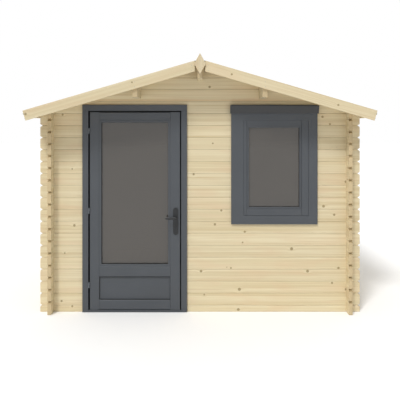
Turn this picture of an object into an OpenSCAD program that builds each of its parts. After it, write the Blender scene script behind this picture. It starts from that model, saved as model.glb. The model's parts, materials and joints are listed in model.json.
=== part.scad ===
// Garden shed of interlocking tongue-and-groove boards with a low gable roof,
// a part-glazed door that opens outwards and a single window beside it.
// The front faces -Y, the shed is centred on the origin and stands on Z = 0.

/* [Walls] */
// Length of the front and back boards, tip to tip
front_len = 3000; // [2700:10:4200]
// Length of the side boards, tip to tip
side_len = 2500; // [1800:10:4200]
// Thickness of the wall boards
wall_t = 34; // [24:1:44]
// Height of one course of boards
course_h = 112.5; // [90:0.5:140]
// Height of the side walls at their outer face
eave_h = 1901; // [1880:1:2400]
// How far the boards run past the face of the wall that they cross
board_end = 92.5; // [60:0.5:140]
// Depth of the V groove where two boards meet
groove = 4; // [2:0.5:6]
// Depth of the bevelled notch between two board ends
end_notch_depth = 21; // [5:1:30]
// Half height of the bevelled notch between two board ends
end_notch_half = 14; // [4:1:25]

/* [Roof] */
// Slope of the roof in degrees
pitch = 16.2; // [13:0.1:30]
// Thickness of the roof boards
roof_board_t = 18; // [15:1:24]
// Thickness of one layer of roofing felt
felt_t = 3; // [2:0.5:5]
// Width of the extra felt on each side of the ridge
ridge_felt_w = 250; // [100:10:400]
// How far the roof boards run past the front and back walls
gable_overhang = 285; // [150:5:450]
// How far the roof runs past the tips of the front boards, measured level
eave_overhang = 60; // [55:1:200]
// Width of the purlins
purlin_w = 44; // [34:1:70]
// Height of the purlins
purlin_h = 135; // [90:1:180]
// Distance of the side purlins from the ridge
purlin_offset = 577; // [400:1:770]
// Width of the bargeboards
barge_w = 92; // [70:1:140]
// Thickness of the bargeboards
barge_t = 20; // [15:1:28]
// Width of the diamond finial
finial_w = 104; // [100:1:200]
// Height of the diamond finial
finial_h = 188; // [150:1:260]
// Thickness of the diamond finial
finial_t = 16; // [10:1:30]
// How far the finial's corners lap over the bargeboards
finial_lap = 6; // [4:1:20]
// Height of the finial's tip over the bargeboards
finial_rise = 51; // [20:1:70]
// Thickness of the eave boards
eave_board_t = 18; // [12:1:28]
// Height of the eave boards
eave_board_h = 60; // [40:1:85]

/* [Floor] */
// Thickness of the floor boards
floor_board_t = 19; // [15:1:28]
// Height of the floor bearers
bearer_h = 28; // [20:1:60]
// Width of the floor bearers
bearer_w = 44; // [34:1:70]
// Number of floor bearers
bearer_count = 5; // [3:1:8]
// Gap round the floor for the boards to swell
floor_gap = 5; // [3:1:15]

/* [Door] */
// Centre of the door, measured from the middle of the shed
door_x = -611.5; // [-700:0.5:-560]
// Width over the door frame
door_frame_w = 980; // [900:1:1060]
// Height over the door frame
door_frame_h = 1942; // [1880:1:1980]
// Width of the frame that shows beside the door
jamb_face = 55; // [45:1:70]
// Height of the frame that shows over the door
head_face = 57; // [45:1:75]
// How far the door and window frames lap over the wall
frame_lap = 25; // [15:1:35]
// How far the door and window frames stand out of the wall on each side
frame_proud = 18; // [12:1:26]
// Height of the threshold
threshold_h = 18; // [12:1:40]
// Gap between the frame and the door's hinge side
hinge_gap = 15; // [14:0.5:20]
// Gap between the frame and the door's lock side
lock_gap = 10; // [8:0.5:15]
// Gap over the door
head_gap = 12; // [6:0.5:20]
// Gap between the threshold and the door
foot_gap = 6; // [5:0.5:15]
// Thickness of the door
leaf_t = 42; // [36:1:50]
// How far the door's face lies behind the frame's face
leaf_setback = 2.5; // [0:0.5:6]
// Room between the closed door and the stop behind it
stop_gap = 5; // [5:0.5:8]
// How far the stop laps behind the edges of the door
stop_lap = 10; // [8:1:11]
// Width of the door's hinge stile
hinge_stile_w = 88; // [70:1:120]
// Width of the door's lock stile
lock_stile_w = 92; // [80:1:120]
// Height of the door's top rail
top_rail_h = 76; // [60:1:140]
// Height of the door's middle rail
mid_rail_h = 100; // [70:1:160]
// Height of the door's bottom rail
bottom_rail_h = 93; // [70:1:160]
// Height of the solid lower panel
door_panel_h = 213; // [120:1:900]
// Thickness of the lower panel
door_panel_t = 20; // [12:1:28]
// Thickness of the glass
glass_t = 6; // [4:1:10]
// How far the panes lie behind the middle of the door or sash
pane_shift = 5; // [0:0.5:6]
// Width of the beads that hold the door's glass
door_bead_w = 20; // [14:1:32]
// How far the beads lie behind the face of the door or sash
bead_setback = 3; // [1:0.5:6]

/* [Door furniture] */
// Outer radius of the hinge barrels
hinge_r = 6.5; // [5:0.1:6.5]
// Radius of the hinge pins
hinge_pin_r = 4; // [2.5:0.1:4.5]
// Height of one whole hinge
hinge_h = 52; // [40:1:90]
// How far the hinge pins lie in front of the frame's face
hinge_proud = 2; // [0:0.5:6]
// Length of the hinge flaps, front to back
hinge_flap = 30; // [20:1:38]
// Height of the lowest hinge's middle over the foot of the door
hinge_foot = 230; // [120:1:400]
// Depth of the highest hinge's middle below the top of the door
hinge_head = 175; // [120:1:400]
// Height of the lever above the ground
lever_z = 890; // [850:1:1050]
// Distance of the handle plates from the door's lock edge
plate_margin = 16.5; // [16:0.5:24]
// Length of the lever from its spindle
lever_len = 95; // [80:1:130]
// Radius of the lever
lever_r = 9; // [6:0.5:11]
// How far the lever stands out of the door
lever_out = 52; // [40:1:70]
// Width of the handle plates
plate_w = 49; // [36:1:52]
// Height of the handle plates
plate_h = 254; // [160:1:280]
// Thickness of the handle plates
plate_t = 5; // [3:0.5:8]
// Depth of the plates' lower end below the lever
plate_drop = 166; // [90:1:180]

/* [Window] */
// Centre of the window, measured from the middle of the shed
window_x = 696; // [600:1:760]
// Width over the window frame
window_frame_w = 808; // [600:1:860]
// Number of whole front courses under the window opening
window_sill_course = 7; // [5:1:9]
// Width of the frame on the window's left
window_left_face = 116; // [60:1:140]
// Width of the frame on the window's right
window_right_face = 82; // [60:1:140]
// Height of the frame under the sash
window_foot_face = 80; // [60:1:140]
// Height of the frame over the sash
window_head_face = 143; // [100:1:200]
// How far the frame reaches behind the sash
window_stop = 22; // [10:1:30]
// Gap round the sash
sash_gap = 3; // [2:0.5:5]
// Thickness of the sash
sash_t = 40; // [30:1:48]
// Width of the sash's left stile
sash_left_w = 30; // [28:1:90]
// Width of the sash's right stile
sash_right_w = 68; // [30:1:90]
// Height of the sash's bottom rail
sash_bottom_h = 63; // [30:1:90]
// Height of the sash's top rail
sash_top_h = 51; // [30:1:90]
// Width of the beads that hold the window's glass
window_bead_w = 16; // [12:1:30]
// How far the head cap runs past the frame at each end
cap_end = 10; // [0:1:40]
// Height of the head cap
cap_h = 77; // [50:1:110]
// How far the head cap lies below the top of the frame
cap_drop = 6; // [0:1:30]
// How far the top of the head cap stands out of the frame
cap_out = 30; // [16:1:60]
// How far the foot of the head cap stands out of the frame
cap_foot_out = 10; // [4:1:14]

/* [Fits] */
// Gap where one fixed piece seats on another
seat = 0.3; // [0.1:0.1:0.6]
// Gap round a hinge pin
pin_gap = 0.08; // [0.04:0.01:0.1]
// Gap round the lever's neck
neck_gap = 0.4; // [0.2:0.1:0.8]

/* [Hidden] */
$fn = 48;

spruce = [0.86, 0.78, 0.62];
end_grain = [0.84, 0.75, 0.58];
anthracite = [0.34, 0.36, 0.38];
dark_cap = [0.27, 0.28, 0.29];
felt_grey = [0.25, 0.26, 0.27];
pane_tint = [0.55, 0.6, 0.62, 0.45];
black_steel = [0.18, 0.19, 0.2];

// Plan: outer and inner faces of the walls
wall_x = front_len / 2 - board_end;
wall_y = side_len / 2 - board_end;
room_x = wall_x - wall_t;
room_y = wall_y - wall_t;

// Courses: the side walls start with a whole board and the front and back with half a board,
// so that the boards lock into each other where they cross
board_foot = 4;
side_joint = board_foot + course_h;
front_joint = board_foot + course_h / 2;

// Roof: underside of the roof boards, which the walls and purlins carry
slope = tan(pitch);
ridge_z = eave_h + slope * wall_x;
function roof_z(x) = ridge_z - slope * abs(x);
roof_x = front_len / 2 + eave_overhang;
roof_y = wall_y + gable_overhang;
slope_len = roof_x / cos(pitch);
barge_rise = roof_board_t + 2 * (seat + felt_t);
barge_top_z = ridge_z + barge_rise / cos(pitch);
barge_gap = finial_w / 2 - finial_lap;
course_count = ceil(ridge_z / course_h) + 1;

// How far a cut runs past the face that it opens, and a length that reaches past every piece
cut = 1;
far = 2 * (front_len + side_len);

// Door frame, its opening in the wall and the clear way between the jambs
door_left = door_x - door_frame_w / 2;
door_right = door_x + door_frame_w / 2;
hole_left = door_left + frame_lap;
hole_right = door_right - frame_lap;
hole_top = door_frame_h - frame_lap;
way_left = door_left + jamb_face;
way_right = door_right - jamb_face;
way_top = door_frame_h - head_face;
frame_front = -wall_y - frame_proud;
frame_back = -room_y + frame_proud;

// Door leaf
leaf_left = way_left + hinge_gap;
leaf_right = way_right - lock_gap;
leaf_foot = threshold_h + foot_gap;
leaf_top = way_top - head_gap;
leaf_front = frame_front + leaf_setback;
leaf_back = leaf_front + leaf_t;
hinge_stop_w = hinge_gap + stop_lap;
lock_stop_w = lock_gap + stop_lap;
stop_foot_z = leaf_top - stop_lap;
panel_left = leaf_left + hinge_stile_w;
panel_right = leaf_right - lock_stile_w;
lower_z0 = leaf_foot + bottom_rail_h;
lower_z1 = lower_z0 + door_panel_h;
door_pane_z0 = lower_z1 + mid_rail_h;
door_pane_z1 = leaf_top - top_rail_h;
door_pane_y = (leaf_front + leaf_back) / 2 + pane_shift;

// Hinges: one near the top, one in the middle and one near the foot
hinge_x = way_left + hinge_gap / 2;
hinge_y = frame_front - hinge_proud;
hinge_zs = [leaf_foot + hinge_foot, (leaf_foot + leaf_top) / 2, leaf_top - hinge_head];
hinge_slack = 0.5;
hinge_cap = 7;
pin_room = 1;
flap_t = 3;

// Lever handle and its plates
spindle_x = leaf_right - plate_margin - plate_w / 2;
spindle_r = 5;
spindle_out = 18;
neck_in = 2;
lever_y = leaf_front - lever_out;
inside_lever_y = leaf_back + lever_out;

// Window opening in the wall, frame, sash and glass
window_left = window_x - window_frame_w / 2;
window_right = window_x + window_frame_w / 2;
pane_hole_left = window_left + frame_lap;
pane_hole_right = window_right - frame_lap;
pane_hole_foot = front_joint + window_sill_course * course_h;
window_foot = pane_hole_foot - frame_lap;
window_top = door_frame_h;
sash_left = window_left + window_left_face + sash_gap;
sash_right = window_right - window_right_face - sash_gap;
sash_foot = window_foot + window_foot_face + sash_gap;
sash_top = window_top - window_head_face - sash_gap;
sash_front = frame_front + leaf_setback;
sash_back = sash_front + sash_t;
window_pane_y = (sash_front + sash_back) / 2 + pane_shift;
pane_left = sash_left + sash_left_w;
pane_right = sash_right - sash_right_w;
pane_foot = sash_foot + sash_bottom_h;
pane_top = sash_top - sash_top_h;

// The joint just under the door head, where the gable boards start
gable_foot = front_joint + floor((hole_top - front_joint) / course_h) * course_h;

// A box given by its lowest and highest corners
module block(low, high) {
    translate(low) cube(high - low);
}

// The same piece on the left or on the right of the shed
module on_side(side) {
    mirror([side < 0 ? 1 : 0, 0, 0]) children();
}

// Children are drawn along the right roof slope: X runs down it from the ridge and Z stands on it
module on_slope() {
    translate([0, 0, ridge_z]) rotate([0, pitch, 0]) children();
}

// Outline of a stack of boards seen along them, with a V groove on each face at every joint
function boards_end_on(first_joint) = [
    for (side = [1, -1])
        let (rising = side > 0)
        for (i = [0 : course_count - 1])
            let (k = rising ? i : course_count - 1 - i)
            let (z = first_joint + k * course_h, y = side * wall_t / 2)
            for (p = [-1, 0, 1]) [y - side * (p == 0 ? groove : 0), z + (rising ? p : -p) * groove]
];

// Outline of the same stack seen face on, with a bevelled notch between the board ends
function boards_face_on(len, first_joint) = [
    for (side = [1, -1])
        let (rising = side > 0)
        for (i = [0 : course_count - 1])
            let (k = rising ? i : course_count - 1 - i)
            let (z = first_joint + k * course_h, x = side * len / 2)
            for (p = [-1, 0, 1])
                [x - side * (p == 0 ? end_notch_depth : 0), z + (rising ? p : -p) * end_notch_half]
];

// One foot and one head row close both outlines below the first joint and above the last
function closed_outline(points, half_width) = concat([[-half_width, 0], [half_width, 0]], points);

// A whole wall of boards along X, centred on the origin, with the places left open
// where the boards of the crossing walls pass through it
module board_wall(len, first_joint, cross_joint, cross_x) {
    difference() {
        intersection() {
            rotate([90, 0, 90]) linear_extrude(len, center = true)
                polygon(closed_outline(boards_end_on(first_joint), wall_t / 2));
            rotate([90, 0, 0]) linear_extrude(wall_t, center = true)
                polygon(closed_outline(boards_face_on(len, first_joint), len / 2));
        }
        for (side = [-1, 1], k = [-1 : course_count])
            crossing_slot(side * cross_x, cross_joint + (k - 0.5) * course_h);
    }
}

// The slot for one crossing board, which keeps half its height where it crosses
module crossing_slot(x, z) {
    half = course_h / 4 + seat;
    half_t = wall_t / 2 + seat;
    block([x - half_t, -wall_t, z - half], [x + half_t, wall_t, z + half]);
}

// Everything under the roof boards, with a seat's gap below them
module under_roof() {
    edge_z = roof_z(roof_x) - seat;
    rotate([90, 0, 0]) linear_extrude(far, center = true)
        polygon([
            [-roof_x, -cut], [roof_x, -cut], [roof_x, edge_z], [0, ridge_z - seat], [-roof_x, edge_z]
        ]);
}

// The whole front or back wall up to the roof, before it is cut for the door and window
module gable_wall(face_y) {
    intersection() {
        translate([0, face_y, 0])
            board_wall(front_len, front_joint, side_joint, wall_x - wall_t / 2);
        under_roof();
    }
}

module front_part(low_x, high_x, low_z, high_z) {
    color(spruce) intersection() {
        gable_wall(-wall_y + wall_t / 2);
        block([low_x, -side_len, low_z], [high_x, 0, high_z]);
    }
}

module front_wall_left() {
    front_part(-front_len, hole_left, 0, gable_foot);
}

module front_wall_low() {
    front_part(hole_right, front_len, 0, pane_hole_foot);
}

module front_wall_middle() {
    front_part(hole_right, pane_hole_left, pane_hole_foot, gable_foot);
}

module front_wall_right() {
    front_part(pane_hole_right, front_len, pane_hole_foot, gable_foot);
}

module front_gable() {
    difference() {
        front_part(-front_len, front_len, gable_foot, ridge_z);
        block([hole_left, -side_len, 0], [hole_right, 0, hole_top]);
        block([pane_hole_left, -side_len, 0], [pane_hole_right, 0, hole_top]);
        purlin_slots();
    }
}

module back_part(low_z, high_z) {
    color(spruce) intersection() {
        gable_wall(wall_y - wall_t / 2);
        block([-front_len, 0, low_z], [front_len, side_len, high_z]);
    }
}

module back_wall() {
    back_part(0, gable_foot);
}

module back_gable() {
    difference() {
        back_part(gable_foot, ridge_z);
        purlin_slots();
    }
}

module side_wall(side) {
    color(spruce) intersection() {
        translate([side * (wall_x - wall_t / 2), 0, 0]) rotate([0, 0, 90])
            board_wall(side_len, side_joint, front_joint, wall_y - wall_t / 2);
        under_roof();
    }
}

module left_wall() {
    side_wall(-1);
}

module right_wall() {
    side_wall(1);
}

// A purlin's section with its top cut to the roof slope; grow widens it all round for a slot
module purlin_bar(x, half_len, grow = 0) {
    half_w = purlin_w / 2;
    foot_z = roof_z(abs(x) + half_w) - seat - purlin_h;
    tops = x == 0 ? [[half_w, roof_z(half_w)], [0, ridge_z], [-half_w, roof_z(half_w)]]
        : [[x + half_w, roof_z(x + half_w)], [x - half_w, roof_z(x - half_w)]];
    rotate([90, 0, 0]) linear_extrude(2 * half_len, center = true)
        polygon(concat(
            [[x - half_w - grow, foot_z - grow], [x + half_w + grow, foot_z - grow]],
            [for (p = tops) [p.x + sign(p.x - x) * grow, p.y + (grow > 0 ? purlin_h : -seat)]]
        ));
}

module purlin_slots() {
    for (x = [-purlin_offset, 0, purlin_offset]) purlin_bar(x, side_len, seat);
}

module ridge_purlin() {
    color(end_grain) purlin_bar(0, roof_y - seat);
}

module left_purlin() {
    color(end_grain) purlin_bar(-purlin_offset, roof_y - seat);
}

module right_purlin() {
    color(end_grain) purlin_bar(purlin_offset, roof_y - seat);
}

// A sheet on one roof slope, cut plumb at the ridge, from height z0 to z1 above the boards' underside
module slope_sheet(side, len, z0, z1) {
    on_side(side) intersection() {
        on_slope() block([-roof_board_t, -roof_y + seat, z0], [len, roof_y - seat, z1]);
        block([seat / 2, -far, 0], [far, far, far]);
    }
}

module roof_boards_left() {
    color(spruce) slope_sheet(-1, slope_len - eave_board_t - seat, 0, roof_board_t);
}

module roof_boards_right() {
    color(spruce) slope_sheet(1, slope_len - eave_board_t - seat, 0, roof_board_t);
}

module felt_sheet(side) {
    color(felt_grey) slope_sheet(side, slope_len, roof_board_t + seat, roof_board_t + seat + felt_t);
}

module roof_felt_left() {
    felt_sheet(-1);
}

module roof_felt_right() {
    felt_sheet(1);
}

// The strip of felt that is folded over the ridge
module ridge_felt() {
    low = (roof_board_t + felt_t + 2 * seat) / cos(pitch);
    high = barge_rise / cos(pitch);
    x = ridge_felt_w * cos(pitch);
    color(felt_grey) rotate([90, 0, 0]) linear_extrude(2 * (roof_y - seat), center = true)
        polygon([
            [0, ridge_z + low], [x, roof_z(x) + low], [x, roof_z(x) + high],
            [0, ridge_z + high], [-x, roof_z(x) + high], [-x, roof_z(x) + low]
        ]);
}

// A bargeboard hides the ends of the roof boards; end is -1 at the front and 1 at the back
module bargeboard(side, end) {
    middle_y = end * (roof_y + barge_t / 2);
    color(spruce) on_side(side) intersection() {
        on_slope() translate([0, middle_y, 0])
            block([-barge_w, -barge_t / 2, barge_rise - barge_w], [slope_len, barge_t / 2, barge_rise]);
        block([barge_gap, -far, 0], [far, far, far]);
    }
}

module front_left_bargeboard() {
    bargeboard(-1, -1);
}

module front_right_bargeboard() {
    bargeboard(1, -1);
}

module back_left_bargeboard() {
    bargeboard(-1, 1);
}

module back_right_bargeboard() {
    bargeboard(1, 1);
}

// The diamond that covers the joint between two bargeboards
module finial(end) {
    middle_z = barge_top_z + finial_rise - finial_h / 2;
    color(spruce) translate([0, end * (roof_y + barge_t + seat + finial_t / 2), middle_z])
        rotate([90, 0, 0]) linear_extrude(finial_t, center = true)
            polygon([[0, finial_h / 2], [finial_w / 2, 0], [0, -finial_h / 2], [-finial_w / 2, 0]]);
}

module front_finial() {
    finial(-1);
}

module back_finial() {
    finial(1);
}

module eave_board(side) {
    color(spruce) on_side(side) on_slope() block(
        [slope_len - eave_board_t, -roof_y + seat, roof_board_t - eave_board_h],
        [slope_len, roof_y - seat, roof_board_t]
    );
}

module left_eave_board() {
    eave_board(-1);
}

module right_eave_board() {
    eave_board(1);
}

module floor_boards() {
    x = room_x - floor_gap;
    y = room_y - frame_proud - floor_gap;
    color(spruce) block([-x, -y, bearer_h], [x, y, bearer_h + floor_board_t]);
}

// Bearers run from side wall to side wall under the floor boards
module floor_bearers() {
    x = room_x - seat;
    y = room_y - frame_proud - floor_gap - bearer_w / 2;
    step = 2 * y / (bearer_count - 1);
    color(spruce) for (k = [0 : bearer_count - 1])
        translate([0, -y + k * step, 0]) block([-x, -bearer_w / 2, 0], [x, bearer_w / 2, bearer_h]);
}

// One jamb grips the wall's edge from both sides and carries the stop behind the door
module door_jamb(side, stop_w) {
    outer = door_frame_w / 2;
    wall_edge = outer - frame_lap - seat;
    way = outer - jamb_face;
    color(anthracite) translate([door_x, 0, 0]) on_side(side) union() {
        block([way, frame_front, threshold_h], [wall_edge, frame_back, way_top]);
        block([way, frame_front, threshold_h], [outer, -wall_y - seat, way_top]);
        block([way, -room_y + seat, threshold_h], [outer, frame_back, way_top]);
        block([way - stop_w, leaf_back + stop_gap, threshold_h], [wall_edge, frame_back, way_top]);
    }
}

module door_left_jamb() {
    door_jamb(-1, hinge_stop_w);
}

module door_right_jamb() {
    door_jamb(1, lock_stop_w);
}

module door_head() {
    color(anthracite) union() {
        block([hole_left + seat, frame_front, way_top], [hole_right - seat, frame_back, hole_top - seat]);
        block([door_left, frame_front, way_top], [door_right, -wall_y - seat, door_frame_h]);
        block([door_left, -room_y + seat, way_top], [door_right, frame_back, door_frame_h]);
        block(
            [way_left + hinge_stop_w, leaf_back + stop_gap, stop_foot_z],
            [way_right - lock_stop_w, frame_back, way_top]
        );
    }
}

module door_threshold() {
    color(dark_cap) union() {
        block([hole_left + seat, frame_front, 0], [hole_right - seat, frame_back, threshold_h]);
        block([door_left, frame_front, 0], [door_right, -wall_y - seat, threshold_h]);
    }
}

module door_stiles() {
    color(anthracite) difference() {
        union() {
            block([leaf_left, leaf_front, leaf_foot], [panel_left, leaf_back, leaf_top]);
            block([panel_right, leaf_front, leaf_foot], [leaf_right, leaf_back, leaf_top]);
        }
        translate([spindle_x, leaf_front - cut, lever_z]) rotate([-90, 0, 0])
            cylinder(h = leaf_t + 2 * cut, r = lever_r + neck_in);
    }
}

module door_rails() {
    color(anthracite) {
        block([panel_left, leaf_front, leaf_foot], [panel_right, leaf_back, lower_z0]);
        block([panel_left, leaf_front, lower_z1], [panel_right, leaf_back, door_pane_z0]);
        block([panel_left, leaf_front, door_pane_z1], [panel_right, leaf_back, leaf_top]);
    }
}

module door_lower_panel() {
    color(anthracite) block(
        [panel_left, door_pane_y - door_panel_t / 2, lower_z0],
        [panel_right, door_pane_y + door_panel_t / 2, lower_z1]
    );
}

// A pane with a seat's gap to the frame round it
module pane(left, right, foot, top, middle_y) {
    color(pane_tint) block(
        [left + seat, middle_y - glass_t / 2, foot + seat],
        [right - seat, middle_y + glass_t / 2, top - seat]
    );
}

// Beads on both faces of a pane, out to bead_setback behind the faces of the frame round it
module beads(left, right, foot, top, front, back, width) {
    middle_y = (front + back) / 2 + pane_shift;
    color(anthracite) difference() {
        union() {
            block([left, front + bead_setback, foot], [right, middle_y - glass_t / 2 - seat, top]);
            block([left, middle_y + glass_t / 2 + seat, foot], [right, back - bead_setback, top]);
        }
        block([left + width, front - cut, foot + width], [right - width, back + cut, top - width]);
    }
}

module door_glass() {
    pane(panel_left, panel_right, door_pane_z0, door_pane_z1, door_pane_y);
}

module door_beads() {
    beads(panel_left, panel_right, door_pane_z0, door_pane_z1, leaf_front, leaf_back, door_bead_w);
}

// Lower halves of the hinges, with the pins, on the frame
module door_hinges_frame_half() {
    half_h = hinge_h / 2;
    color(black_steel) for (z = hinge_zs) translate([hinge_x, hinge_y, z]) {
        translate([0, 0, -half_h]) cylinder(h = half_h - hinge_slack, r = hinge_r);
        translate([0, 0, -half_h]) cylinder(h = 2 * half_h - hinge_cap - pin_room, r = hinge_pin_r);
        block([-hinge_gap / 2, -hinge_r / 2, -half_h], [-hinge_gap / 2 + flap_t, hinge_flap, -hinge_slack]);
    }
}

// Upper halves of the hinges, which turn on the pins with the door
module door_hinges_leaf_half() {
    half_h = hinge_h / 2;
    color(black_steel) for (z = hinge_zs) translate([hinge_x, hinge_y, z]) difference() {
        union() {
            cylinder(h = half_h, r = hinge_r);
            block([hinge_gap / 2 - flap_t, -hinge_r / 2, 0], [hinge_gap / 2, hinge_flap, half_h]);
        }
        translate([0, 0, -cut]) cylinder(h = half_h - hinge_cap + cut, r = hinge_pin_r + pin_gap);
    }
}

// Long plates with round ends on both faces of the door
module handle_plates() {
    radius = plate_w / 2;
    low = lever_z - plate_drop + radius;
    high = lever_z - plate_drop + plate_h - radius;
    color(black_steel) for (y = [leaf_front, leaf_back + plate_t])
        translate([spindle_x, y, 0]) rotate([90, 0, 0]) linear_extrude(plate_t) difference() {
            union() {
                translate([-radius, low]) square([plate_w, high - low]);
                for (z = [low, high]) translate([0, z]) circle(radius);
            }
            translate([0, lever_z]) circle(lever_r + neck_gap);
        }
}

// Neck and grip of a lever; the grip points to the hinge side
module lever(grip_y, neck_end) {
    reach = abs(neck_end - grip_y);
    grip_len = lever_len - lever_r;
    translate([spindle_x, min(grip_y, neck_end), lever_z]) rotate([-90, 0, 0])
        cylinder(h = reach, r = lever_r);
    translate([spindle_x, grip_y, lever_z]) {
        rotate([0, -90, 0]) cylinder(h = grip_len, r = lever_r);
        for (x = [-grip_len, 0]) translate([x, 0, 0]) sphere(r = lever_r);
    }
}

module outside_lever() {
    color(black_steel) union() {
        lever(lever_y, leaf_front + neck_in);
        translate([spindle_x, leaf_front, lever_z]) rotate([-90, 0, 0])
            cylinder(h = leaf_t + plate_t + spindle_out, r = spindle_r);
    }
}

module inside_lever() {
    color(black_steel) difference() {
        lever(inside_lever_y, leaf_back - neck_in);
        translate([spindle_x, leaf_back - neck_in - cut, lever_z]) rotate([-90, 0, 0])
            cylinder(h = neck_in + cut + plate_t + spindle_out + pin_room, r = spindle_r + neck_gap / 2);
    }
}

// A flat ring of four bars round an opening
module ring(outer_low, outer_high, inner_low, inner_high) {
    difference() {
        block(outer_low, outer_high);
        block(inner_low, inner_high);
    }
}

// The window frame grips the wall on both sides and has a stop behind the sash
module window_frame() {
    way_foot = sash_foot - sash_gap;
    way_head = sash_top + sash_gap;
    way_l = sash_left - sash_gap;
    way_r = sash_right + sash_gap;
    body_top = hole_top - seat;
    color(anthracite) union() {
        ring(
            [window_left, frame_front, window_foot], [window_right, -wall_y - seat, window_top],
            [way_l, frame_front - cut, way_foot], [way_r, -room_y, way_head]
        );
        ring(
            [pane_hole_left + seat, frame_front, pane_hole_foot + seat],
            [pane_hole_right - seat, frame_back, body_top],
            [way_l, frame_front - cut, way_foot], [way_r, frame_back + cut, way_head]
        );
        ring(
            [window_left, -room_y + seat, window_foot], [window_right, frame_back, window_top],
            [way_l, -room_y, way_foot], [way_r, frame_back + cut, way_head]
        );
        ring(
            [way_l, sash_back + seat, way_foot], [way_r, frame_back, way_head],
            [way_l + window_stop, sash_back - cut, way_foot + window_stop],
            [way_r - window_stop, frame_back + cut, way_head - window_stop]
        );
    }
}

module window_sash() {
    color(anthracite) ring(
        [sash_left, sash_front, sash_foot], [sash_right, sash_back, sash_top],
        [pane_left, sash_front - cut, pane_foot], [pane_right, sash_back + cut, pane_top]
    );
}

module window_glass() {
    pane(pane_left, pane_right, pane_foot, pane_top, window_pane_y);
}

module window_beads() {
    beads(pane_left, pane_right, pane_foot, pane_top, sash_front, sash_back, window_bead_w);
}

// The cap over the window leans back towards its foot, so that water drips off its top edge
module window_head_cap() {
    top = window_top - cap_drop;
    half_len = window_frame_w / 2 + cap_end;
    face = frame_front - seat;
    edge_h = 8;
    color(dark_cap) translate([window_x, 0, 0]) rotate([90, 0, 90])
        linear_extrude(2 * half_len, center = true) polygon([
            [face, top], [face - cap_out, top], [face - cap_out, top - edge_h],
            [face - cap_foot_out, top - cap_h], [face, top - cap_h]
        ]);
}

front_wall_left();
front_wall_low();
front_wall_middle();
front_wall_right();
front_gable();
back_wall();
back_gable();
left_wall();
right_wall();
ridge_purlin();
left_purlin();
right_purlin();
roof_boards_left();
roof_boards_right();
roof_felt_left();
roof_felt_right();
ridge_felt();
front_left_bargeboard();
front_right_bargeboard();
back_left_bargeboard();
back_right_bargeboard();
front_finial();
back_finial();
left_eave_board();
right_eave_board();
floor_boards();
floor_bearers();
door_left_jamb();
door_right_jamb();
door_head();
door_threshold();
door_stiles();
door_rails();
door_lower_panel();
door_glass();
door_beads();
door_hinges_frame_half();
door_hinges_leaf_half();
handle_plates();
outside_lever();
inside_lever();
window_frame();
window_sash();
window_glass();
window_beads();
window_head_cap();
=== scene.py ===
# A garden shed of interlocking spruce boards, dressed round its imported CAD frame
import json
import math

import bmesh
import bpy
from mathutils import Matrix, Vector


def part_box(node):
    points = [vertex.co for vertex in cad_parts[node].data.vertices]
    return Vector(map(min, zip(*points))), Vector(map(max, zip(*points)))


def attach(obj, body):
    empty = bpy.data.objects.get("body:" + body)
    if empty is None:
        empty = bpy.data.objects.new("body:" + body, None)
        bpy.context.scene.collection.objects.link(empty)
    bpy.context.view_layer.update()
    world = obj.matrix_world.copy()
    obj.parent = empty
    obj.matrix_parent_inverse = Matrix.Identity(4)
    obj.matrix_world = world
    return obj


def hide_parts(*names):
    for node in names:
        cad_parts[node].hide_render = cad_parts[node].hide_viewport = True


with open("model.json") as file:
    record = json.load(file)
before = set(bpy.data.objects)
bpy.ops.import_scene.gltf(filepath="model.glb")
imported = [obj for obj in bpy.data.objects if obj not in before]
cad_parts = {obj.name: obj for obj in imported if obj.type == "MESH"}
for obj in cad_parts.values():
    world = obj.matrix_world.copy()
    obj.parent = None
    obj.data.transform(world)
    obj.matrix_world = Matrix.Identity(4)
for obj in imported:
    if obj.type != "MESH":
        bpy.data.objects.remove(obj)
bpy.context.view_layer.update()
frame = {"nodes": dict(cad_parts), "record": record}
mm = 0.001

# Sizes that several pieces share, in metres
course = 112.5 * mm           # height of one wall board
frontJoint = 60.25 * mm       # lowest joint of the front and back walls
sideJoint = 116.5 * mm        # lowest joint of the side walls
boardEnd = 92.5 * mm          # how far a wall's boards run past the face of the wall that they cross
roofBoardThick = 18 * mm
plankCount = 32               # roof boards a side, about 90 mm wide
floorCount = 24               # floor boards, about 114 mm wide
pitch = math.radians(16.2)
sinPitch, cosPitch = math.sin(pitch), math.cos(pitch)
xAxis, yAxis, zAxis = Vector((1, 0, 0)), Vector((0, 1, 0)), Vector((0, 0, 1))
sides = ((1, "Right"), (-1, "Left"))

roofLow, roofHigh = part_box("roof_boards_right")
floorLow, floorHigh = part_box("floor_boards")
roofEnd = (roofHigh.x - roofBoardThick * sinPitch) / cosPitch     # measured down the slope
ridgeZ = roofLow.z + roofEnd * sinPitch                           # underside of the roof boards
roofHalf = roofHigh.y
plankWidth = 2 * roofHalf / plankCount
floorWidth = 2 * floorHigh.x / floorCount


def onSlope(side):
    # Takes X down the slope from the ridge, Y along the ridge and Z up off the roof boards' underside
    down = Vector((side * cosPitch, 0, -sinPitch))
    off = Vector((side * sinPitch, 0, cosPitch))
    turn = Matrix((down, off.cross(down), off)).transposed().to_4x4()
    return Matrix.Translation((0, 0, ridgeZ)) @ turn


def hexToLinear(code):
    parts = [int(code[i:i + 2], 16) / 255 for i in (1, 3, 5)]
    return tuple(c / 12.92 if c <= 0.04045 else ((c + 0.055) / 1.055) ** 2.4 for c in parts) + (1.0,)


def feed(tree, node, inputs):
    # inputs holds plain values, sockets, or nodes whose first output is meant
    for key, value in inputs.items():
        if isinstance(value, bpy.types.Node):
            value = value.outputs[0]
        if isinstance(value, bpy.types.NodeSocket):
            tree.links.new(value, node.inputs[key])
        else:
            node.inputs[key].default_value = value


def addNode(tree, kind, inputs=None, **settings):
    node = tree.nodes.new(kind)
    for key, value in settings.items():
        setattr(node, key, value)
    feed(tree, node, inputs or {})
    return node


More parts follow.
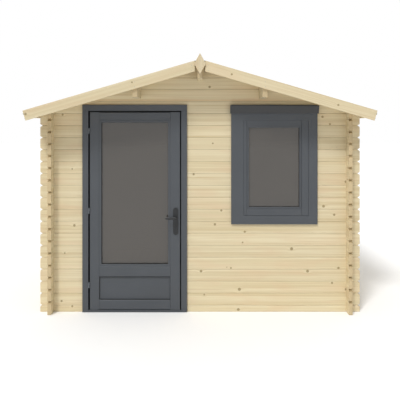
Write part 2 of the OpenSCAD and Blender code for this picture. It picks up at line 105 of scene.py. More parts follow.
cameraPlan = {
    "back": 5.0,              # metres in front of the front wall's face
    "height": 1.762,
    "lens": 47.92, "sensor": 36.0,
    "shiftY": -0.19,          # it looks level, so that upright lines stay upright
}


def placeCamera(plan):
    data = bpy.data.cameras.new("camera")
    data.lens = plan["lens"]
    data.sensor_width = plan["sensor"]
    data.shift_y = plan["shiftY"]
    camera = bpy.data.objects.new("camera", data)
    bpy.context.scene.collection.objects.link(camera)
    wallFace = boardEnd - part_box("right_wall")[1].y
    camera.location = (0, wallFace - plan["back"], plan["height"])
    camera.rotation_euler = (math.radians(90), 0, 0)
    bpy.context.scene.camera = camera


placeCamera(cameraPlan)

lightPlan = {
    "sunFrom": (-0.7, -1.36, 1.87),   # towards the sun, from the left and in front
    "sunStrength": 1.59,
    "sunAngle": 12.0,                 # degrees across, for a soft shadow edge
    "horizonStrength": 0.2,
    "zenithStrength": 0.96,           # the sky is brightest overhead, as under a large soft box
    "bandHeight": (0.35, 0.8),        # sines of the elevations between which it fades
    "floorColour": "#FFFFFF",         # what lights the shed from below
    "floorSeen": 1.02,                # how bright the same floor looks, white where the sun reaches it
    "floorHalf": 40.0,
    "floorDrop": 1 * mm,              # under the shed's foot, so that the two faces stay apart
}


def layFloor(plan):
    # A plain pale floor, white to the camera except where the shed shades it
    mesh = bpy.data.meshes.new("floor")
    half = plan["floorHalf"]
    corners = [(-half, -half, 0), (half, -half, 0), (half, half, 0), (-half, half, 0)]
    mesh.from_pydata(corners, [], [(0, 1, 2, 3)])
    floor = bpy.data.objects.new("floor", mesh)
    floor.location.z = -plan["floorDrop"]
    bpy.context.scene.collection.objects.link(floor)
    material = bpy.data.materials.new("paleFloor")
    material.use_nodes = True
    tree = material.node_tree
    tree.nodes.clear()
    path = addNode(tree, "ShaderNodeLightPath")
    seen = addNode(tree, "ShaderNodeMapRange", {"Value": path.outputs["Is Camera Ray"],
                                                "To Min": 1.0, "To Max": plan["floorSeen"]})
    colour = addNode(tree, "ShaderNodeVectorMath", {0: hexToLinear(plan["floorColour"])[:3], "Scale": seen},
                     operation="SCALE")
    plain = addNode(tree, "ShaderNodeBsdfDiffuse", {"Color": colour})
    addNode(tree, "ShaderNodeOutputMaterial", {"Surface": plain})
    mesh.materials.append(material)


def lightScene(plan):
    scene = bpy.context.scene
    scene.view_settings.view_transform = "Standard"
    lamp = bpy.data.lights.new("sun", "SUN")
    lamp.energy = plan["sunStrength"]
    lamp.angle = math.radians(plan["sunAngle"])
    sun = bpy.data.objects.new("sun", lamp)
    sun.rotation_euler = Vector(plan["sunFrom"]).to_track_quat("Z", "Y").to_euler()
    scene.collection.objects.link(sun)

    # The sky is plain white wherever it is seen, reflected or looked at through glass
    world = bpy.data.worlds.new("softSky")
    world.use_nodes = True
    tree = world.node_tree
    tree.nodes.clear()
    path = addNode(tree, "ShaderNodeLightPath")
    seen = path.outputs["Is Camera Ray"]
    for ray in ("Is Glossy Ray", "Is Transmission Ray"):
        seen = addNode(tree, "ShaderNodeMath", {0: seen, 1: path.outputs[ray]}, operation="MAXIMUM")
    coords = addNode(tree, "ShaderNodeTexCoord").outputs
    up = addNode(tree, "ShaderNodeSeparateXYZ", {0: coords["Generated"]}).outputs[2]
    band = addNode(tree, "ShaderNodeMapRange",
                   {"Value": up, "From Min": plan["bandHeight"][0], "From Max": plan["bandHeight"][1],
                    "To Min": plan["horizonStrength"], "To Max": plan["zenithStrength"]})
    strength = addNode(tree, "ShaderNodeMix", {0: seen, 2: band, 3: 1.0}, data_type="FLOAT")
    sky = addNode(tree, "ShaderNodeBackground", {"Color": (1, 1, 1, 1), "Strength": strength})
    addNode(tree, "ShaderNodeOutputWorld", {"Surface": sky})
    scene.world = world


layFloor(lightPlan)
lightScene(lightPlan)
print("camera, lamps and floor are in place")


def grainTurn(along, across):
    # Rotation that takes the grain to X and the width of the board to Y
    a = Vector(along).normalized()
    b = Vector(across).normalized()
    return Matrix((a, b, a.cross(b))).to_euler("XYZ")


def makeGroup(name, kind, sockets, outputs):
    tree = bpy.data.node_groups.new(name, kind)
    for label, socketType, value in sockets:
        socket = tree.interface.new_socket(label, in_out="INPUT", socket_type=socketType)
        if value is not None:
            socket.default_value = value
    for label, socketType in outputs:
        tree.interface.new_socket(label, in_out="OUTPUT", socket_type=socketType)
    return tree


# Planed spruce, untreated: straight pale grain with darker late wood, a tone of its own for each
# board, small brown knots that the grain swings round, and a duller face where it is cut across
spruceGrain = {
    "streakLength": 3.2, "streakWidth": 0.03,
    "lineLength": 0.7, "lineWidth": 0.007,      # rings are about 3 mm apart, drawn coarser so that they show
    "patchLength": 0.45, "patchWidth": 0.1,     # reddish heartwood comes and goes along a board
    "knotSpacing": 0.62, "knotRadius": 0.011,
    "pale": "#E9DCBB", "deep": "#D8C79F", "late": "#C6AC7F", "warm": "#E1C6A2",
    "heart": "#CB9E68", "knot": "#A9976F", "knotEdge": "#93825D",
    # the notch colour is end grain darkened by painted shade of the notch's crevice
    "end": "#D3BE96", "notch": "#B9A47C",
}


def spruceGroup(look):
    tree = makeGroup(
        "spruceGrain", "ShaderNodeTree",
        [("Place", "NodeSocketVector", None), ("Facing", "NodeSocketVector", None),
         ("Board Width", "NodeSocketFloat", course), ("First Joint", "NodeSocketFloat", 0.0),
         ("Joint Painted Shade", "NodeSocketFloat", 1.0), ("Knot Share", "NodeSocketFloat", 0.3),
         ("Marked Knot", "NodeSocketFloat", 99.0), ("Tone", "NodeSocketFloat", 1.0)],
        [("Colour", "NodeSocketColor"), ("Height", "NodeSocketFloat")],
    )
    given = addNode(tree, "NodeGroupInput").outputs
    at = addNode(tree, "ShaderNodeSeparateXYZ", {0: given["Place"]}).outputs
    piece = addNode(tree, "ShaderNodeAttribute", attribute_name="pieceSeed").outputs["Fac"]

    # which board, and where across it
    up = addNode(tree, "ShaderNodeMath", {0: at[1], 1: given["First Joint"]}, operation="SUBTRACT")
    rows = addNode(tree, "ShaderNodeMath", {0: up, 1: given["Board Width"]}, operation="DIVIDE")
    row = addNode(tree, "ShaderNodeMath", {0: rows}, operation="FLOOR")
    inRow = addNode(tree, "ShaderNodeMath", {0: rows}, operation="FRACT")
    boardSeed = addNode(tree, "ShaderNodeMath", {0: row, 1: 7.31, 2: piece}, operation="MULTIPLY_ADD")
    chance = addNode(tree, "ShaderNodeTexWhiteNoise", {"W": boardSeed}, noise_dimensions="1D")
    shift = addNode(tree, "ShaderNodeVectorMath", {0: chance.outputs["Color"], "Scale": 30.0},
                    operation="SCALE")
    place = addNode(tree, "ShaderNodeVectorMath", {0: given["Place"], 1: shift}, operation="ADD")
    placeAt = addNode(tree, "ShaderNodeSeparateXYZ", {0: place}).outputs

    # knots: at most one in each stretch of a board, clear of its ends and of the board's edges, and drawn a
    # little longer along the grain than across it
    cells = addNode(tree, "ShaderNodeMath", {0: placeAt[0], 1: look["knotSpacing"]}, operation="DIVIDE")
    cell = addNode(tree, "ShaderNodeMath", {0: cells}, operation="FLOOR")
    cellPlace = addNode(tree, "ShaderNodeCombineXYZ", {0: cell, 1: boardSeed})
    luck = addNode(tree, "ShaderNodeTexWhiteNoise", {"Vector": cellPlace}, noise_dimensions="2D")
    luckOf = addNode(tree, "ShaderNodeSeparateXYZ", {0: luck.outputs["Color"]}).outputs
    knotAlong = addNode(tree, "ShaderNodeMath", {0: luckOf[0], 1: 0.6, 2: 0.2}, operation="MULTIPLY_ADD")
    inCell = addNode(tree, "ShaderNodeMath", {0: cells}, operation="FRACT")
    offAlong = addNode(tree, "ShaderNodeMath", {0: inCell, 1: knotAlong}, operation="SUBTRACT")
    offAlong = addNode(tree, "ShaderNodeMath", {0: offAlong, 1: look["knotSpacing"] * 0.8},
                       operation="MULTIPLY")
    knotAcross = addNode(tree, "ShaderNodeMath", {0: luckOf[1], 1: 0.7, 2: 0.15}, operation="MULTIPLY_ADD")
    offAcross = addNode(tree, "ShaderNodeMath", {0: inRow, 1: knotAcross}, operation="SUBTRACT")
    offAcross = addNode(tree, "ShaderNodeMath", {0: offAcross, 1: given["Board Width"]}, operation="MULTIPLY")
    off = addNode(tree, "ShaderNodeCombineXYZ", {0: offAlong, 1: offAcross})
    away = addNode(tree, "ShaderNodeVectorMath", {0: off}, operation="LENGTH").outputs["Value"]
    lowest = addNode(tree, "ShaderNodeMath", {0: 1.0, 1: given["Knot Share"]}, operation="SUBTRACT")
    knotSize = addNode(tree, "ShaderNodeMapRange",
                       {"Value": luckOf[2], "From Min": lowest, "From Max": 1.0,
                        "To Min": 0.0, "To Max": look["knotRadius"]})
    awayShare = addNode(tree, "ShaderNodeMath", {0: knotSize, 1: 0.0001}, operation="ADD")
    awayShare = addNode(tree, "ShaderNodeMath", {0: away, 1: awayShare}, operation="DIVIDE")
    awayShare = addNode(tree, "ShaderNodeMath", {0: awayShare, 1: given["Marked Knot"]}, operation="MINIMUM")
    core, edge, swing = [
        addNode(tree, "ShaderNodeMapRange", {"Value": awayShare, "From Min": near, "From Max": far,
                                             "To Min": most, "To Max": 0.0}, interpolation_type=curve)
        for near, far, most, curve in ((0.4, 0.95, 1.0, "SMOOTHSTEP"), (0.8, 1.2, 0.8, "SMOOTHSTEP"),
                                       (0.0, 5.0, 1.0, "SMOOTHERSTEP"))]

    # grain: broad streaks, then narrow late wood that bends slowly along the board
    swung = addNode(tree, "ShaderNodeMath", {0: swing, 1: look["knotRadius"], 2: placeAt[1]},
                    operation="MULTIPLY_ADD")
    swungPlace = addNode(tree, "ShaderNodeCombineXYZ", {0: placeAt[0], 1: swung, 2: placeAt[2]})
    grains = {}
    for label, detail, distortion, depthScale in (("streak", 3.0, 0.3, 12.0), ("line", 2.0, 0.2, 60.0),
                                                  ("patch", 1.0, 0.5, 6.0)):
        scale = (1 / look[label + "Length"], 1 / look[label + "Width"], depthScale)
        scaled = addNode(tree, "ShaderNodeVectorMath", {0: swungPlace, 1: scale}, operation="MULTIPLY")
        grains[label] = addNode(tree, "ShaderNodeTexNoise", {"Vector": scaled, "Scale": 1.0, "Detail": detail,
                                                             "Roughness": 0.55, "Distortion": distortion})
    body = hexToLinear(look["pale"])
    for label, low, high, most, colour in (("streak", 0.34, 0.72, 1.0, "deep"),
                                           ("patch", 0.48, 0.75, 0.45, "warm"),
                                           ("line", 0.52, 0.8, 0.6, "late")):
        share = addNode(tree, "ShaderNodeMapRange", {"Value": grains[label].outputs[0], "From Min": low,
                                                     "From Max": high, "To Max": most})
        body = addNode(tree, "ShaderNodeMix", {0: share, 6: body, 7: hexToLinear(look[colour])},
                       data_type="RGBA").outputs[2]
    for share, colour in ((edge, "knotEdge"), (core, "knot")):
        body = addNode(tree, "ShaderNodeMix", {0: share, 6: body, 7: hexToLinear(look[colour])},
                       data_type="RGBA").outputs[2]

    # cut faces: growth rings round a pith outside the board, and notches of end grain darkened by painted
    # shade
    pith = addNode(tree, "ShaderNodeVectorMath", {0: chance.outputs["Color"], 1: (0.0, 0.09, 0.05)},
                   operation="MULTIPLY")
    ringPlace = addNode(tree, "ShaderNodeVectorMath", {0: given["Place"], 1: pith}, operation="ADD")
    ringPlace = addNode(tree, "ShaderNodeVectorMath", {0: ringPlace, 1: (0.0, 1.0, 1.0)},
                        operation="MULTIPLY")
    ring = addNode(tree, "ShaderNodeTexWave", {"Vector": ringPlace, "Scale": 28.0, "Distortion": 1.5,
                                               "Detail": 2.0, "Detail Scale": 3.0},
                   wave_type="RINGS", rings_direction="X")
    endTone = addNode(tree, "ShaderNodeMapRange",
                      {"Value": ring.outputs["Fac"], "To Min": 0.86, "To Max": 1.04})
    endColour = addNode(tree, "ShaderNodeVectorMath", {0: hexToLinear(look["end"])[:3], "Scale": endTone},
                        operation="SCALE")
    facing = addNode(tree, "ShaderNodeSeparateXYZ", {0: given["Facing"]}).outputs[0]
    facing = addNode(tree, "ShaderNodeMath", {0: facing}, operation="ABSOLUTE")
    isNotch = addNode(tree, "ShaderNodeMapRange", {"Value": facing, "From Min": 0.42, "From Max": 0.5})
    isEnd = addNode(tree, "ShaderNodeMapRange", {"Value": facing, "From Min": 0.66, "From Max": 0.8})
    body = addNode(tree, "ShaderNodeMix", {0: isNotch, 6: body, 7: hexToLinear(look["notch"])},
                   data_type="RGBA").outputs[2]
    body = addNode(tree, "ShaderNodeMix", {0: isEnd, 6: body, 7: endColour}, data_type="RGBA").outputs[2]

    # each board has its own tone, and painted shade darkens the bottom of each joint
    tone = addNode(tree, "ShaderNodeMapRange",
                   {"Value": chance.outputs["Value"], "To Min": 0.96, "To Max": 1.03})
    tone = addNode(tree, "ShaderNodeMath", {0: tone, 1: given["Tone"]}, operation="MULTIPLY")
    toJoint = addNode(tree, "ShaderNodeMath", {0: inRow, 1: 0.5}, operation="SUBTRACT")
    toJoint = addNode(tree, "ShaderNodeMath", {0: toJoint}, operation="ABSOLUTE")
    toJoint = addNode(tree, "ShaderNodeMath", {0: 0.5, 1: toJoint}, operation="SUBTRACT")
    toJoint = addNode(tree, "ShaderNodeMath", {0: toJoint, 1: given["Board Width"]}, operation="MULTIPLY")
    jointPaintedShade = addNode(tree, "ShaderNodeMapRange",
                         {"Value": toJoint, "From Min": 0.4 * mm, "From Max": 2.6 * mm,
                          "To Min": given["Joint Painted Shade"], "To Max": 1.0})
    tone = addNode(tree, "ShaderNodeMath", {0: tone, 1: jointPaintedShade}, operation="MULTIPLY")
    body = addNode(tree, "ShaderNodeVectorMath", {0: body, "Scale": tone}, operation="SCALE")

    height = addNode(tree, "ShaderNodeMath", {0: core, 1: 1.5, 2: grains["line"].outputs[0]},
                     operation="MULTIPLY_ADD")
    addNode(tree, "NodeGroupOutput", {"Colour": body, "Height": height})
    return tree


spruceTree = spruceGroup(spruceGrain)


def startMaterial(name):
    # A new material, its tree, its shader, and the outputs that tell where a point lies on the object
    material = bpy.data.materials.new(name)
    material.use_nodes = True
    tree = material.node_tree
    coords = addNode(tree, "ShaderNodeTexCoord").outputs
    return material, tree, tree.nodes["Principled BSDF"], coords


def spruce(name, along, across, boardWidth=3.0, firstJoint=-1.5, jointPaintedShade=1.0, knotShare=0.3, tone=1.0,
           marked=(), heartAt=None):
    # Planed softwood is matt with a slight silkiness. marked holds knots as x, z and radius, and heartAt is
    # the height of one streak of orange heartwood
    material, tree, shader, coords = startMaterial(name)
    turn = grainTurn(along, across)
    place = addNode(tree, "ShaderNodeMapping", {"Vector": coords["Object"], "Rotation": turn})
    facing = addNode(tree, "ShaderNodeMapping", {"Vector": coords["Normal"], "Rotation": turn},
                     vector_type="VECTOR")
    flat = addNode(tree, "ShaderNodeVectorMath", {0: coords["Object"], 1: (1.0, 0.0, 1.0)},
                   operation="MULTIPLY")
    nearest = 99.0      # in radii of a knot, so far that none shows
    for x, z, radius in marked:
        away = addNode(tree, "ShaderNodeVectorMath", {0: flat, 1: (x, 0.0, z)}, operation="DISTANCE")
        away = addNode(tree, "ShaderNodeMath", {0: away.outputs["Value"], 1: radius * mm}, operation="DIVIDE")
        nearest = addNode(tree, "ShaderNodeMath", {0: nearest, 1: away}, operation="MINIMUM")
    # the joint setting darkens the bottom of each joint with painted shade
    grain = addNode(tree, "ShaderNodeGroup",
                    {"Place": place, "Facing": facing, "Board Width": boardWidth, "First Joint": firstJoint,
                     "Joint Painted Shade": jointPaintedShade, "Knot Share": knotShare, "Tone": tone,
                     "Marked Knot": nearest}, node_tree=spruceTree)
    colour = grain.outputs["Colour"]
    if heartAt:
        height = addNode(tree, "ShaderNodeSeparateXYZ", {0: coords["Object"]}).outputs[2]
        away = addNode(tree, "ShaderNodeMath", {0: height, 1: heartAt}, operation="SUBTRACT")
        away = addNode(tree, "ShaderNodeMath", {0: away}, operation="ABSOLUTE")
        share = addNode(tree, "ShaderNodeMapRange", {"Value": away, "From Min": 3 * mm, "From Max": 10 * mm,
                                                     "To Min": 0.35, "To Max": 0.0})
        colour = addNode(tree, "ShaderNodeMix", {0: share, 6: colour, 7: hexToLinear(spruceGrain["heart"])},
                         data_type="RGBA").outputs[2]
    bump = addNode(tree, "ShaderNodeBump", {"Height": grain.outputs["Height"], "Strength": 0.25,
                                            "Distance": 0.0006})
    feed(tree, shader, {"Base Color": colour, "Normal": bump, "Roughness": 0.62, "Specular IOR Level": 0.3})
    return material


# The larger knots on the front: x and z in metres, radius in millimetres
frontKnots = (
    (-1.20, 1.34, 8), (-1.18, 0.81, 12), (-1.27, 0.55, 8), (-1.30, 0.10, 10), (-1.20, 0.05, 10),
    (0.12, 1.58, 8), (-0.06, 1.29, 10), (0.20, 0.95, 10), (0.14, 0.82, 11), (0.09, 2.11, 11),
    (1.22, 1.76, 10), (1.37, 1.22, 12), (1.16, 0.99, 13), (1.26, 0.91, 11), (0.42, 0.75, 10),
    (0.86, 0.59, 14), (0.01, 0.38, 12), (1.01, 0.38, 13), (0.37, 0.21, 14), (0.36, 0.02, 13),
    (-1.29, 1.85, 10), (1.15, 1.83, 11), (1.30, 0.41, 11), (1.24, 0.27, 10), (1.37, 0.21, 11),
    (0.29, 0.41, 8), (0.40, 0.65, 8), (0.04, 0.16, 8),
)
bargeKnots = ((-1.54, 1.85, 12), (-0.60, 2.13, 8), (0.28, 2.20, 9), (1.22, 1.93, 9))

frontSpruce = spruce("planedSpruceFront", xAxis, zAxis, course, frontJoint, jointPaintedShade=0.7, knotShare=0.12,
                     tone=0.985, marked=frontKnots, heartAt=1.986)
backSpruce = spruce("planedSpruceBack", xAxis, zAxis, course, frontJoint, jointPaintedShade=0.7, knotShare=0.45)
sideSpruce = spruce("planedSpruceSide", yAxis, zAxis, course, sideJoint, jointPaintedShade=0.7, knotShare=0.45)
purlinSpruce = spruce("planedSprucePurlin", yAxis, zAxis, tone=0.94)
floorSpruce = spruce("planedSpruceFloor", yAxis, xAxis, floorWidth, -floorHigh.x, knotShare=0.4)
eaveSpruce = spruce("planedSpruceEave", yAxis, zAxis, knotShare=0.2)
bearerSpruce = spruce("sawnSpruceBearer", xAxis, yAxis, tone=0.9)
finialSpruce = spruce("planedSpruceFinial", zAxis, xAxis, knotShare=0.0, tone=0.93)
slopeSpruce, bargeSpruce = {}, {}
for side, sideName in sides:
    down = onSlope(side).to_3x3() @ xAxis
    slopeSpruce[side] = spruce("planedSprucePlank" + sideName, down, yAxis, plankWidth, -roofHalf,
                               knotShare=0.4)
    bargeSpruce[side] = spruce("planedSpruceBarge" + sideName, down, down.cross(yAxis), knotShare=0.15,
                               tone=0.955, marked=bargeKnots)


def satinPaint(name, colour, along, across):
    # Satin wood paint, brushed on: even grey, with the grain showing faintly as low relief
    material, tree, shader, coords = startMaterial(name)
    turn = grainTurn(along, across)
    place = addNode(tree, "ShaderNodeMapping", {"Vector": coords["Object"], "Rotation": turn})
    grainPlace = addNode(tree, "ShaderNodeVectorMath", {0: place, 1: (3.0, 180.0, 60.0)},
                         operation="MULTIPLY")
    grain = addNode(tree, "ShaderNodeTexNoise", {"Vector": grainPlace, "Scale": 1.0, "Detail": 3.0})
    broad = addNode(tree, "ShaderNodeTexNoise", {"Vector": place, "Scale": 4.0, "Detail": 3.0})
    share = addNode(tree, "ShaderNodeMath", {0: grain, 1: 0.35, 2: broad}, operation="MULTIPLY_ADD")
    tone = addNode(tree, "ShaderNodeMapRange", {"Value": share, "From Min": 0.3, "From Max": 1.05,
                                                "To Min": 0.9, "To Max": 1.1})
    painted = addNode(tree, "ShaderNodeVectorMath", {0: hexToLinear(colour)[:3], "Scale": tone},
                      operation="SCALE")
    bump = addNode(tree, "ShaderNodeBump", {"Height": grain, "Strength": 0.2, "Distance": 0.0004})
    sheen = addNode(tree, "ShaderNodeMapRange", {"Value": broad, "To Min": 0.39, "To Max": 0.51})
    feed(tree, shader, {"Base Color": painted, "Roughness": sheen, "Normal": bump})
    return material


def floatGlass():
    # A sealed pane, smooth, with a warm grey that is painted shade for the dim room behind it. Its two faces
    # reflect twice what one does
    material, tree, shader, coords = startMaterial("floatGlass")
    cloud = addNode(tree, "ShaderNodeTexNoise", {"Vector": coords["Object"], "Scale": 1.6, "Detail": 1.0})
    tone = addNode(tree, "ShaderNodeMapRange", {"Value": cloud, "To Min": 0.94, "To Max": 1.06})
    dimRoomShade = addNode(tree, "ShaderNodeVectorMath", {0: hexToLinear("#4C4741")[:3], "Scale": tone},
                   operation="SCALE")
    feed(tree, shader, {"Base Color": dimRoomShade, "Roughness": 0.06, "Specular IOR Level": 1.0, "Alpha": 0.85})
    return material


def mineralFelt():
    # Bitumen felt with crushed slate rolled into it: dull, dark and gritty, about 3 mm a grain
    material, tree, shader, coords = startMaterial("mineralFelt")
    grit = addNode(tree, "ShaderNodeTexVoronoi", {"Vector": coords["Object"], "Scale": 1 / (3.0 * mm)})
    stone = addNode(tree, "ShaderNodeSeparateXYZ", {0: grit.outputs["Color"]})
    cloud = addNode(tree, "ShaderNodeTexNoise", {"Vector": coords["Object"], "Scale": 5.0, "Detail": 4.0})
    share = addNode(tree, "ShaderNodeMath", {0: cloud, 1: 0.6, 2: stone}, operation="MULTIPLY_ADD")
    share = addNode(tree, "ShaderNodeMapRange", {"Value": share, "From Min": 0.2, "From Max": 1.4})
    colour = addNode(tree, "ShaderNodeMix", {0: share, 6: hexToLinear("#2B2D30"), 7: hexToLinear("#5A5D60")},
                     data_type="RGBA").outputs[2]
    bump = addNode(tree, "ShaderNodeBump", {"Height": grit.outputs["Distance"], "Strength": 0.5,
                                            "Distance": 0.0012})
    feed(tree, shader, {"Base Color": colour, "Normal": bump, "Roughness": 0.95})
    return material


def fineSurface(name, colour, roughness, grain, metallic=0.0):
    # Powder coat, zinc or rubber: one colour with a fine, even texture, its grain in metres
    material, tree, shader, coords = startMaterial(name)
    peel = addNode(tree, "ShaderNodeTexNoise",
                   {"Vector": coords["Object"], "Scale": 1 / grain, "Detail": 1.0})
    tone = addNode(tree, "ShaderNodeMapRange", {"Value": peel, "To Min": 0.9, "To Max": 1.1})
    coat = addNode(tree, "ShaderNodeVectorMath", {0: hexToLinear(colour)[:3], "Scale": tone},
                   operation="SCALE")
    bump = addNode(tree, "ShaderNodeBump", {"Height": peel, "Strength": 0.15, "Distance": 0.0003})
    feed(tree, shader, {"Base Color": coat, "Normal": bump, "Roughness": roughness, "Metallic": metallic})
    return material


anthracite = "#4A4E53"
uprightPaint = satinPaint("anthracitePaintUpright", anthracite, zAxis, xAxis)
levelPaint = satinPaint("anthracitePaintLevel", anthracite, xAxis, zAxis)
darkPaint = satinPaint("darkGreyPaint", "#38393B", xAxis, zAxis)
glass = floatGlass()
felt = mineralFelt()
blackCoat = fineSurface("blackPowderCoat", "#202224", 0.5, 1.2 * mm)
greyCoat = fineSurface("greyPowderCoat", "#5F646A", 0.45, 1.2 * mm)      # hinges, to suit the door
zinc = fineSurface("zincPlatedSteel", "#B9B7B0", 0.38, 2.0 * mm, metallic=1.0)   # dull, faintly spangled
galvanised = fineSurface("galvanisedSteel", "#8E9193", 0.55, 4.0 * mm, metallic=1.0)
rubber = fineSurface("blackRubber", "#141517", 0.7, 1.0 * mm)       # extruded seals, nearly matt
greyRubber = fineSurface("greyRubber", "#43474C", 0.7, 1.0 * mm)
print("materials are mixed")


record = frame["record"]
bodyOf = {node: body for body, nodes in record["behaviour"]["bodies"].items() for node in nodes}


def addPiece(name, mesh, material, body="shed", seed=None):
    mesh.materials.clear()
    mesh.materials.append(material)
    if seed is not None:
        attribute = mesh.attributes.new("pieceSeed", "FLOAT", "POINT")
        attribute.data.foreach_set("value", [seed] * len(mesh.vertices))
    piece = bpy.data.objects.new(name, mesh)
    bpy.context.scene.collection.objects.link(piece)
    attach(piece, body)
    return piece


def standIn(name, mesh, material, node, seed=None):
    # A piece that takes over the place of a CAD node, on its body
    piece = addPiece(name, mesh, material, bodyOf[node], seed)
    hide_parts(node)


def closeShape(name, shape, smoothAngle=None):
    # Turns a finished bmesh into a mesh whose faces point outwards
    bmesh.ops.remove_doubles(shape, verts=shape.verts, dist=0.001 * mm)
    bmesh.ops.recalc_face_normals(shape, faces=shape.faces)
    if smoothAngle:
        for face in shape.faces:
            face.smooth = True
        for e in shape.edges:
            e.smooth = not (len(e.link_faces) == 2 and e.calc_face_angle(0) > math.radians(smoothAngle))
    mesh = bpy.data.meshes.new(name)
    shape.to_mesh(mesh)
    shape.free()
    return mesh


easePlan = {
    "sharp": 25,                          # degrees from which an arris is eased
    "chamferLength": 300 * mm,            # the shortest edge that gets a chamfer
    "veeHalf": 1.5, "veeDeep": 2.5,       # the V where two rails meet, in millimetres
}


def camelName(node):
    first, *rest = node.split("_")
    return first + "".join(word.capitalize() for word in rest)


def justBehindFront(shape):
    return min(v.co.y for v in shape.verts) + 0.1 * mm


def dressed(node, material, edge=1.5, seed=0.0, chamfer=0.0, joints=(), name=None):
    # A copy of a CAD solid with its arrises eased, which then stands for it. A chamfer cuts its long front
    # corners first, and joints are X places where two rails meet in a fine V on its front
    name = name or camelName(node)
    shape = bmesh.new()
    shape.from_mesh(frame["nodes"][node].data)
    bmesh.ops.remove_doubles(shape, verts=shape.verts, dist=0.01 * mm)
    bmesh.ops.dissolve_limit(shape, angle_limit=math.radians(1), verts=shape.verts, edges=shape.edges)
    if chamfer:
        front = justBehindFront(shape)
        corners = [e for e in shape.edges if e.is_manifold and e.calc_length() > easePlan["chamferLength"]
                   and e.calc_face_angle() > 1.0 and max(v.co.y for v in e.verts) < front]
        bmesh.ops.bevel(shape, geom=corners, offset=chamfer * mm, segments=1, affect="EDGES",
                        clamp_overlap=False)
    sharp = [e for e in shape.edges if e.is_manifold
             and e.calc_face_angle() > math.radians(easePlan["sharp"])]
    bmesh.ops.bevel(shape, geom=sharp, offset=edge * mm, segments=2, profile=0.5, affect="EDGES",
                    clamp_overlap=True)
    if joints:
        bmesh.ops.triangulate(shape, faces=shape.faces)     # a cut through a concave face would go astray
    for x in joints:
        for part in (-easePlan["veeHalf"], 0.0, easePlan["veeHalf"]):
            bmesh.ops.bisect_plane(shape, geom=shape.verts[:] + shape.edges[:] + shape.faces[:],
                                   plane_co=((x + part) * mm, 0, 0), plane_no=(1, 0, 0))
        front = justBehindFront(shape)
        for v in shape.verts:
            if abs(v.co.x - x * mm) < 0.05 * mm and v.co.y < front:
                v.co.y += easePlan["veeDeep"] * mm
    mesh = bpy.data.meshes.new(name)
    shape.to_mesh(mesh)
    shape.free()
    standIn(name, mesh, material, node, seed)


def bridge(shape, a, b):
    # Faces between two rings of equal counts
    for i in range(len(a)):
        j = (i + 1) % len(a)
        shape.faces.new((a[i], a[j], b[j], b[i]))


def loft(shape, rings):
    # Joins rings of points into a closed tube
    made = [[shape.verts.new(p) for p in ring] for ring in rings]
    for a, b in zip(made, made[1:]):
        bridge(shape, a, b)
    shape.faces.new(made[0])
    shape.faces.new(made[-1])


def geometryTree(name, sockets):
    return makeGroup(name, "GeometryNodeTree", [("Geometry", "NodeSocketGeometry", None)] + sockets,
                     [("Geometry", "NodeSocketGeometry")])


def boardTree():
    # Boards laid side by side: they run along X and are counted along Y, with their joints chamfered
    tree = geometryTree("boardRun",
                        [("Board Length", "NodeSocketFloat", 1.0), ("Board Width", "NodeSocketFloat", 0.09),
                         ("Board Thickness", "NodeSocketFloat", 0.018), ("Count", "NodeSocketInt", 10),
                         ("Joint Gap", "NodeSocketFloat", 0.0006), ("Chamfer", "NodeSocketFloat", 0.003),
                         ("Unevenness", "NodeSocketFloat", 0.0003), ("Seed", "NodeSocketInt", 1),
                         ("Finish", "NodeSocketMaterial", None)])
    given = addNode(tree, "NodeGroupInput").outputs
    half = addNode(tree, "ShaderNodeMath", {0: given["Board Width"], 1: 0.5}, operation="MULTIPLY")
    lift = addNode(tree, "ShaderNodeMath", {0: given["Board Thickness"], 1: 0.5}, operation="MULTIPLY")
    start = addNode(tree, "ShaderNodeCombineXYZ", {1: half, 2: lift})
    step = addNode(tree, "ShaderNodeCombineXYZ", {1: given["Board Width"]})
    places = addNode(tree, "GeometryNodeMeshLine",
                     {"Count": given["Count"], "Start Location": start, "Offset": step})
    end = addNode(tree, "ShaderNodeCombineXYZ", {0: given["Board Length"]})
    spine = addNode(tree, "GeometryNodeCurvePrimitiveLine", {"End": end})
    cover = addNode(tree, "ShaderNodeMath", {0: given["Board Width"], 1: given["Joint Gap"]},
                    operation="SUBTRACT")
    outline = addNode(tree, "GeometryNodeCurvePrimitiveQuadrilateral",
                      {"Width": cover, "Height": given["Board Thickness"]})
    outline = addNode(tree, "GeometryNodeFilletCurve",
                      {"Curve": outline, "Count": 1, "Radius": given["Chamfer"]}, mode="POLY")
    board = addNode(tree, "GeometryNodeCurveToMesh",
                    {"Curve": spine, "Profile Curve": outline, "Fill Caps": True})
    boards = addNode(tree, "GeometryNodeInstanceOnPoints", {"Points": places, "Instance": board})
    drop = addNode(tree, "ShaderNodeMath", {0: given["Unevenness"], 1: -1.0}, operation="MULTIPLY")
    chance = addNode(tree, "FunctionNodeRandomValue", {2: drop, 3: 0.0, "Seed": given["Seed"]},
                     data_type="FLOAT")
    move = addNode(tree, "ShaderNodeCombineXYZ", {2: chance.outputs[1]})
    boards = addNode(tree, "GeometryNodeTranslateInstances", {"Instances": boards, "Translation": move})
    index = addNode(tree, "GeometryNodeInputIndex")
    seed = addNode(tree, "ShaderNodeMath", {0: index, 1: 3.7, 2: given["Seed"]}, operation="MULTIPLY_ADD")
    boards = addNode(tree, "GeometryNodeStoreNamedAttribute", {"Geometry": boards, "Name": "pieceSeed"},
                     data_type="FLOAT", domain="INSTANCE")
    tree.links.new(seed.outputs[0], boards.inputs["Value"])
    real = addNode(tree, "GeometryNodeRealizeInstances", {"Geometry": boards})
    done = addNode(tree, "GeometryNodeSetMaterial", {"Geometry": real, "Material": given["Finish"]})
    addNode(tree, "NodeGroupOutput", {0: done})
    return tree


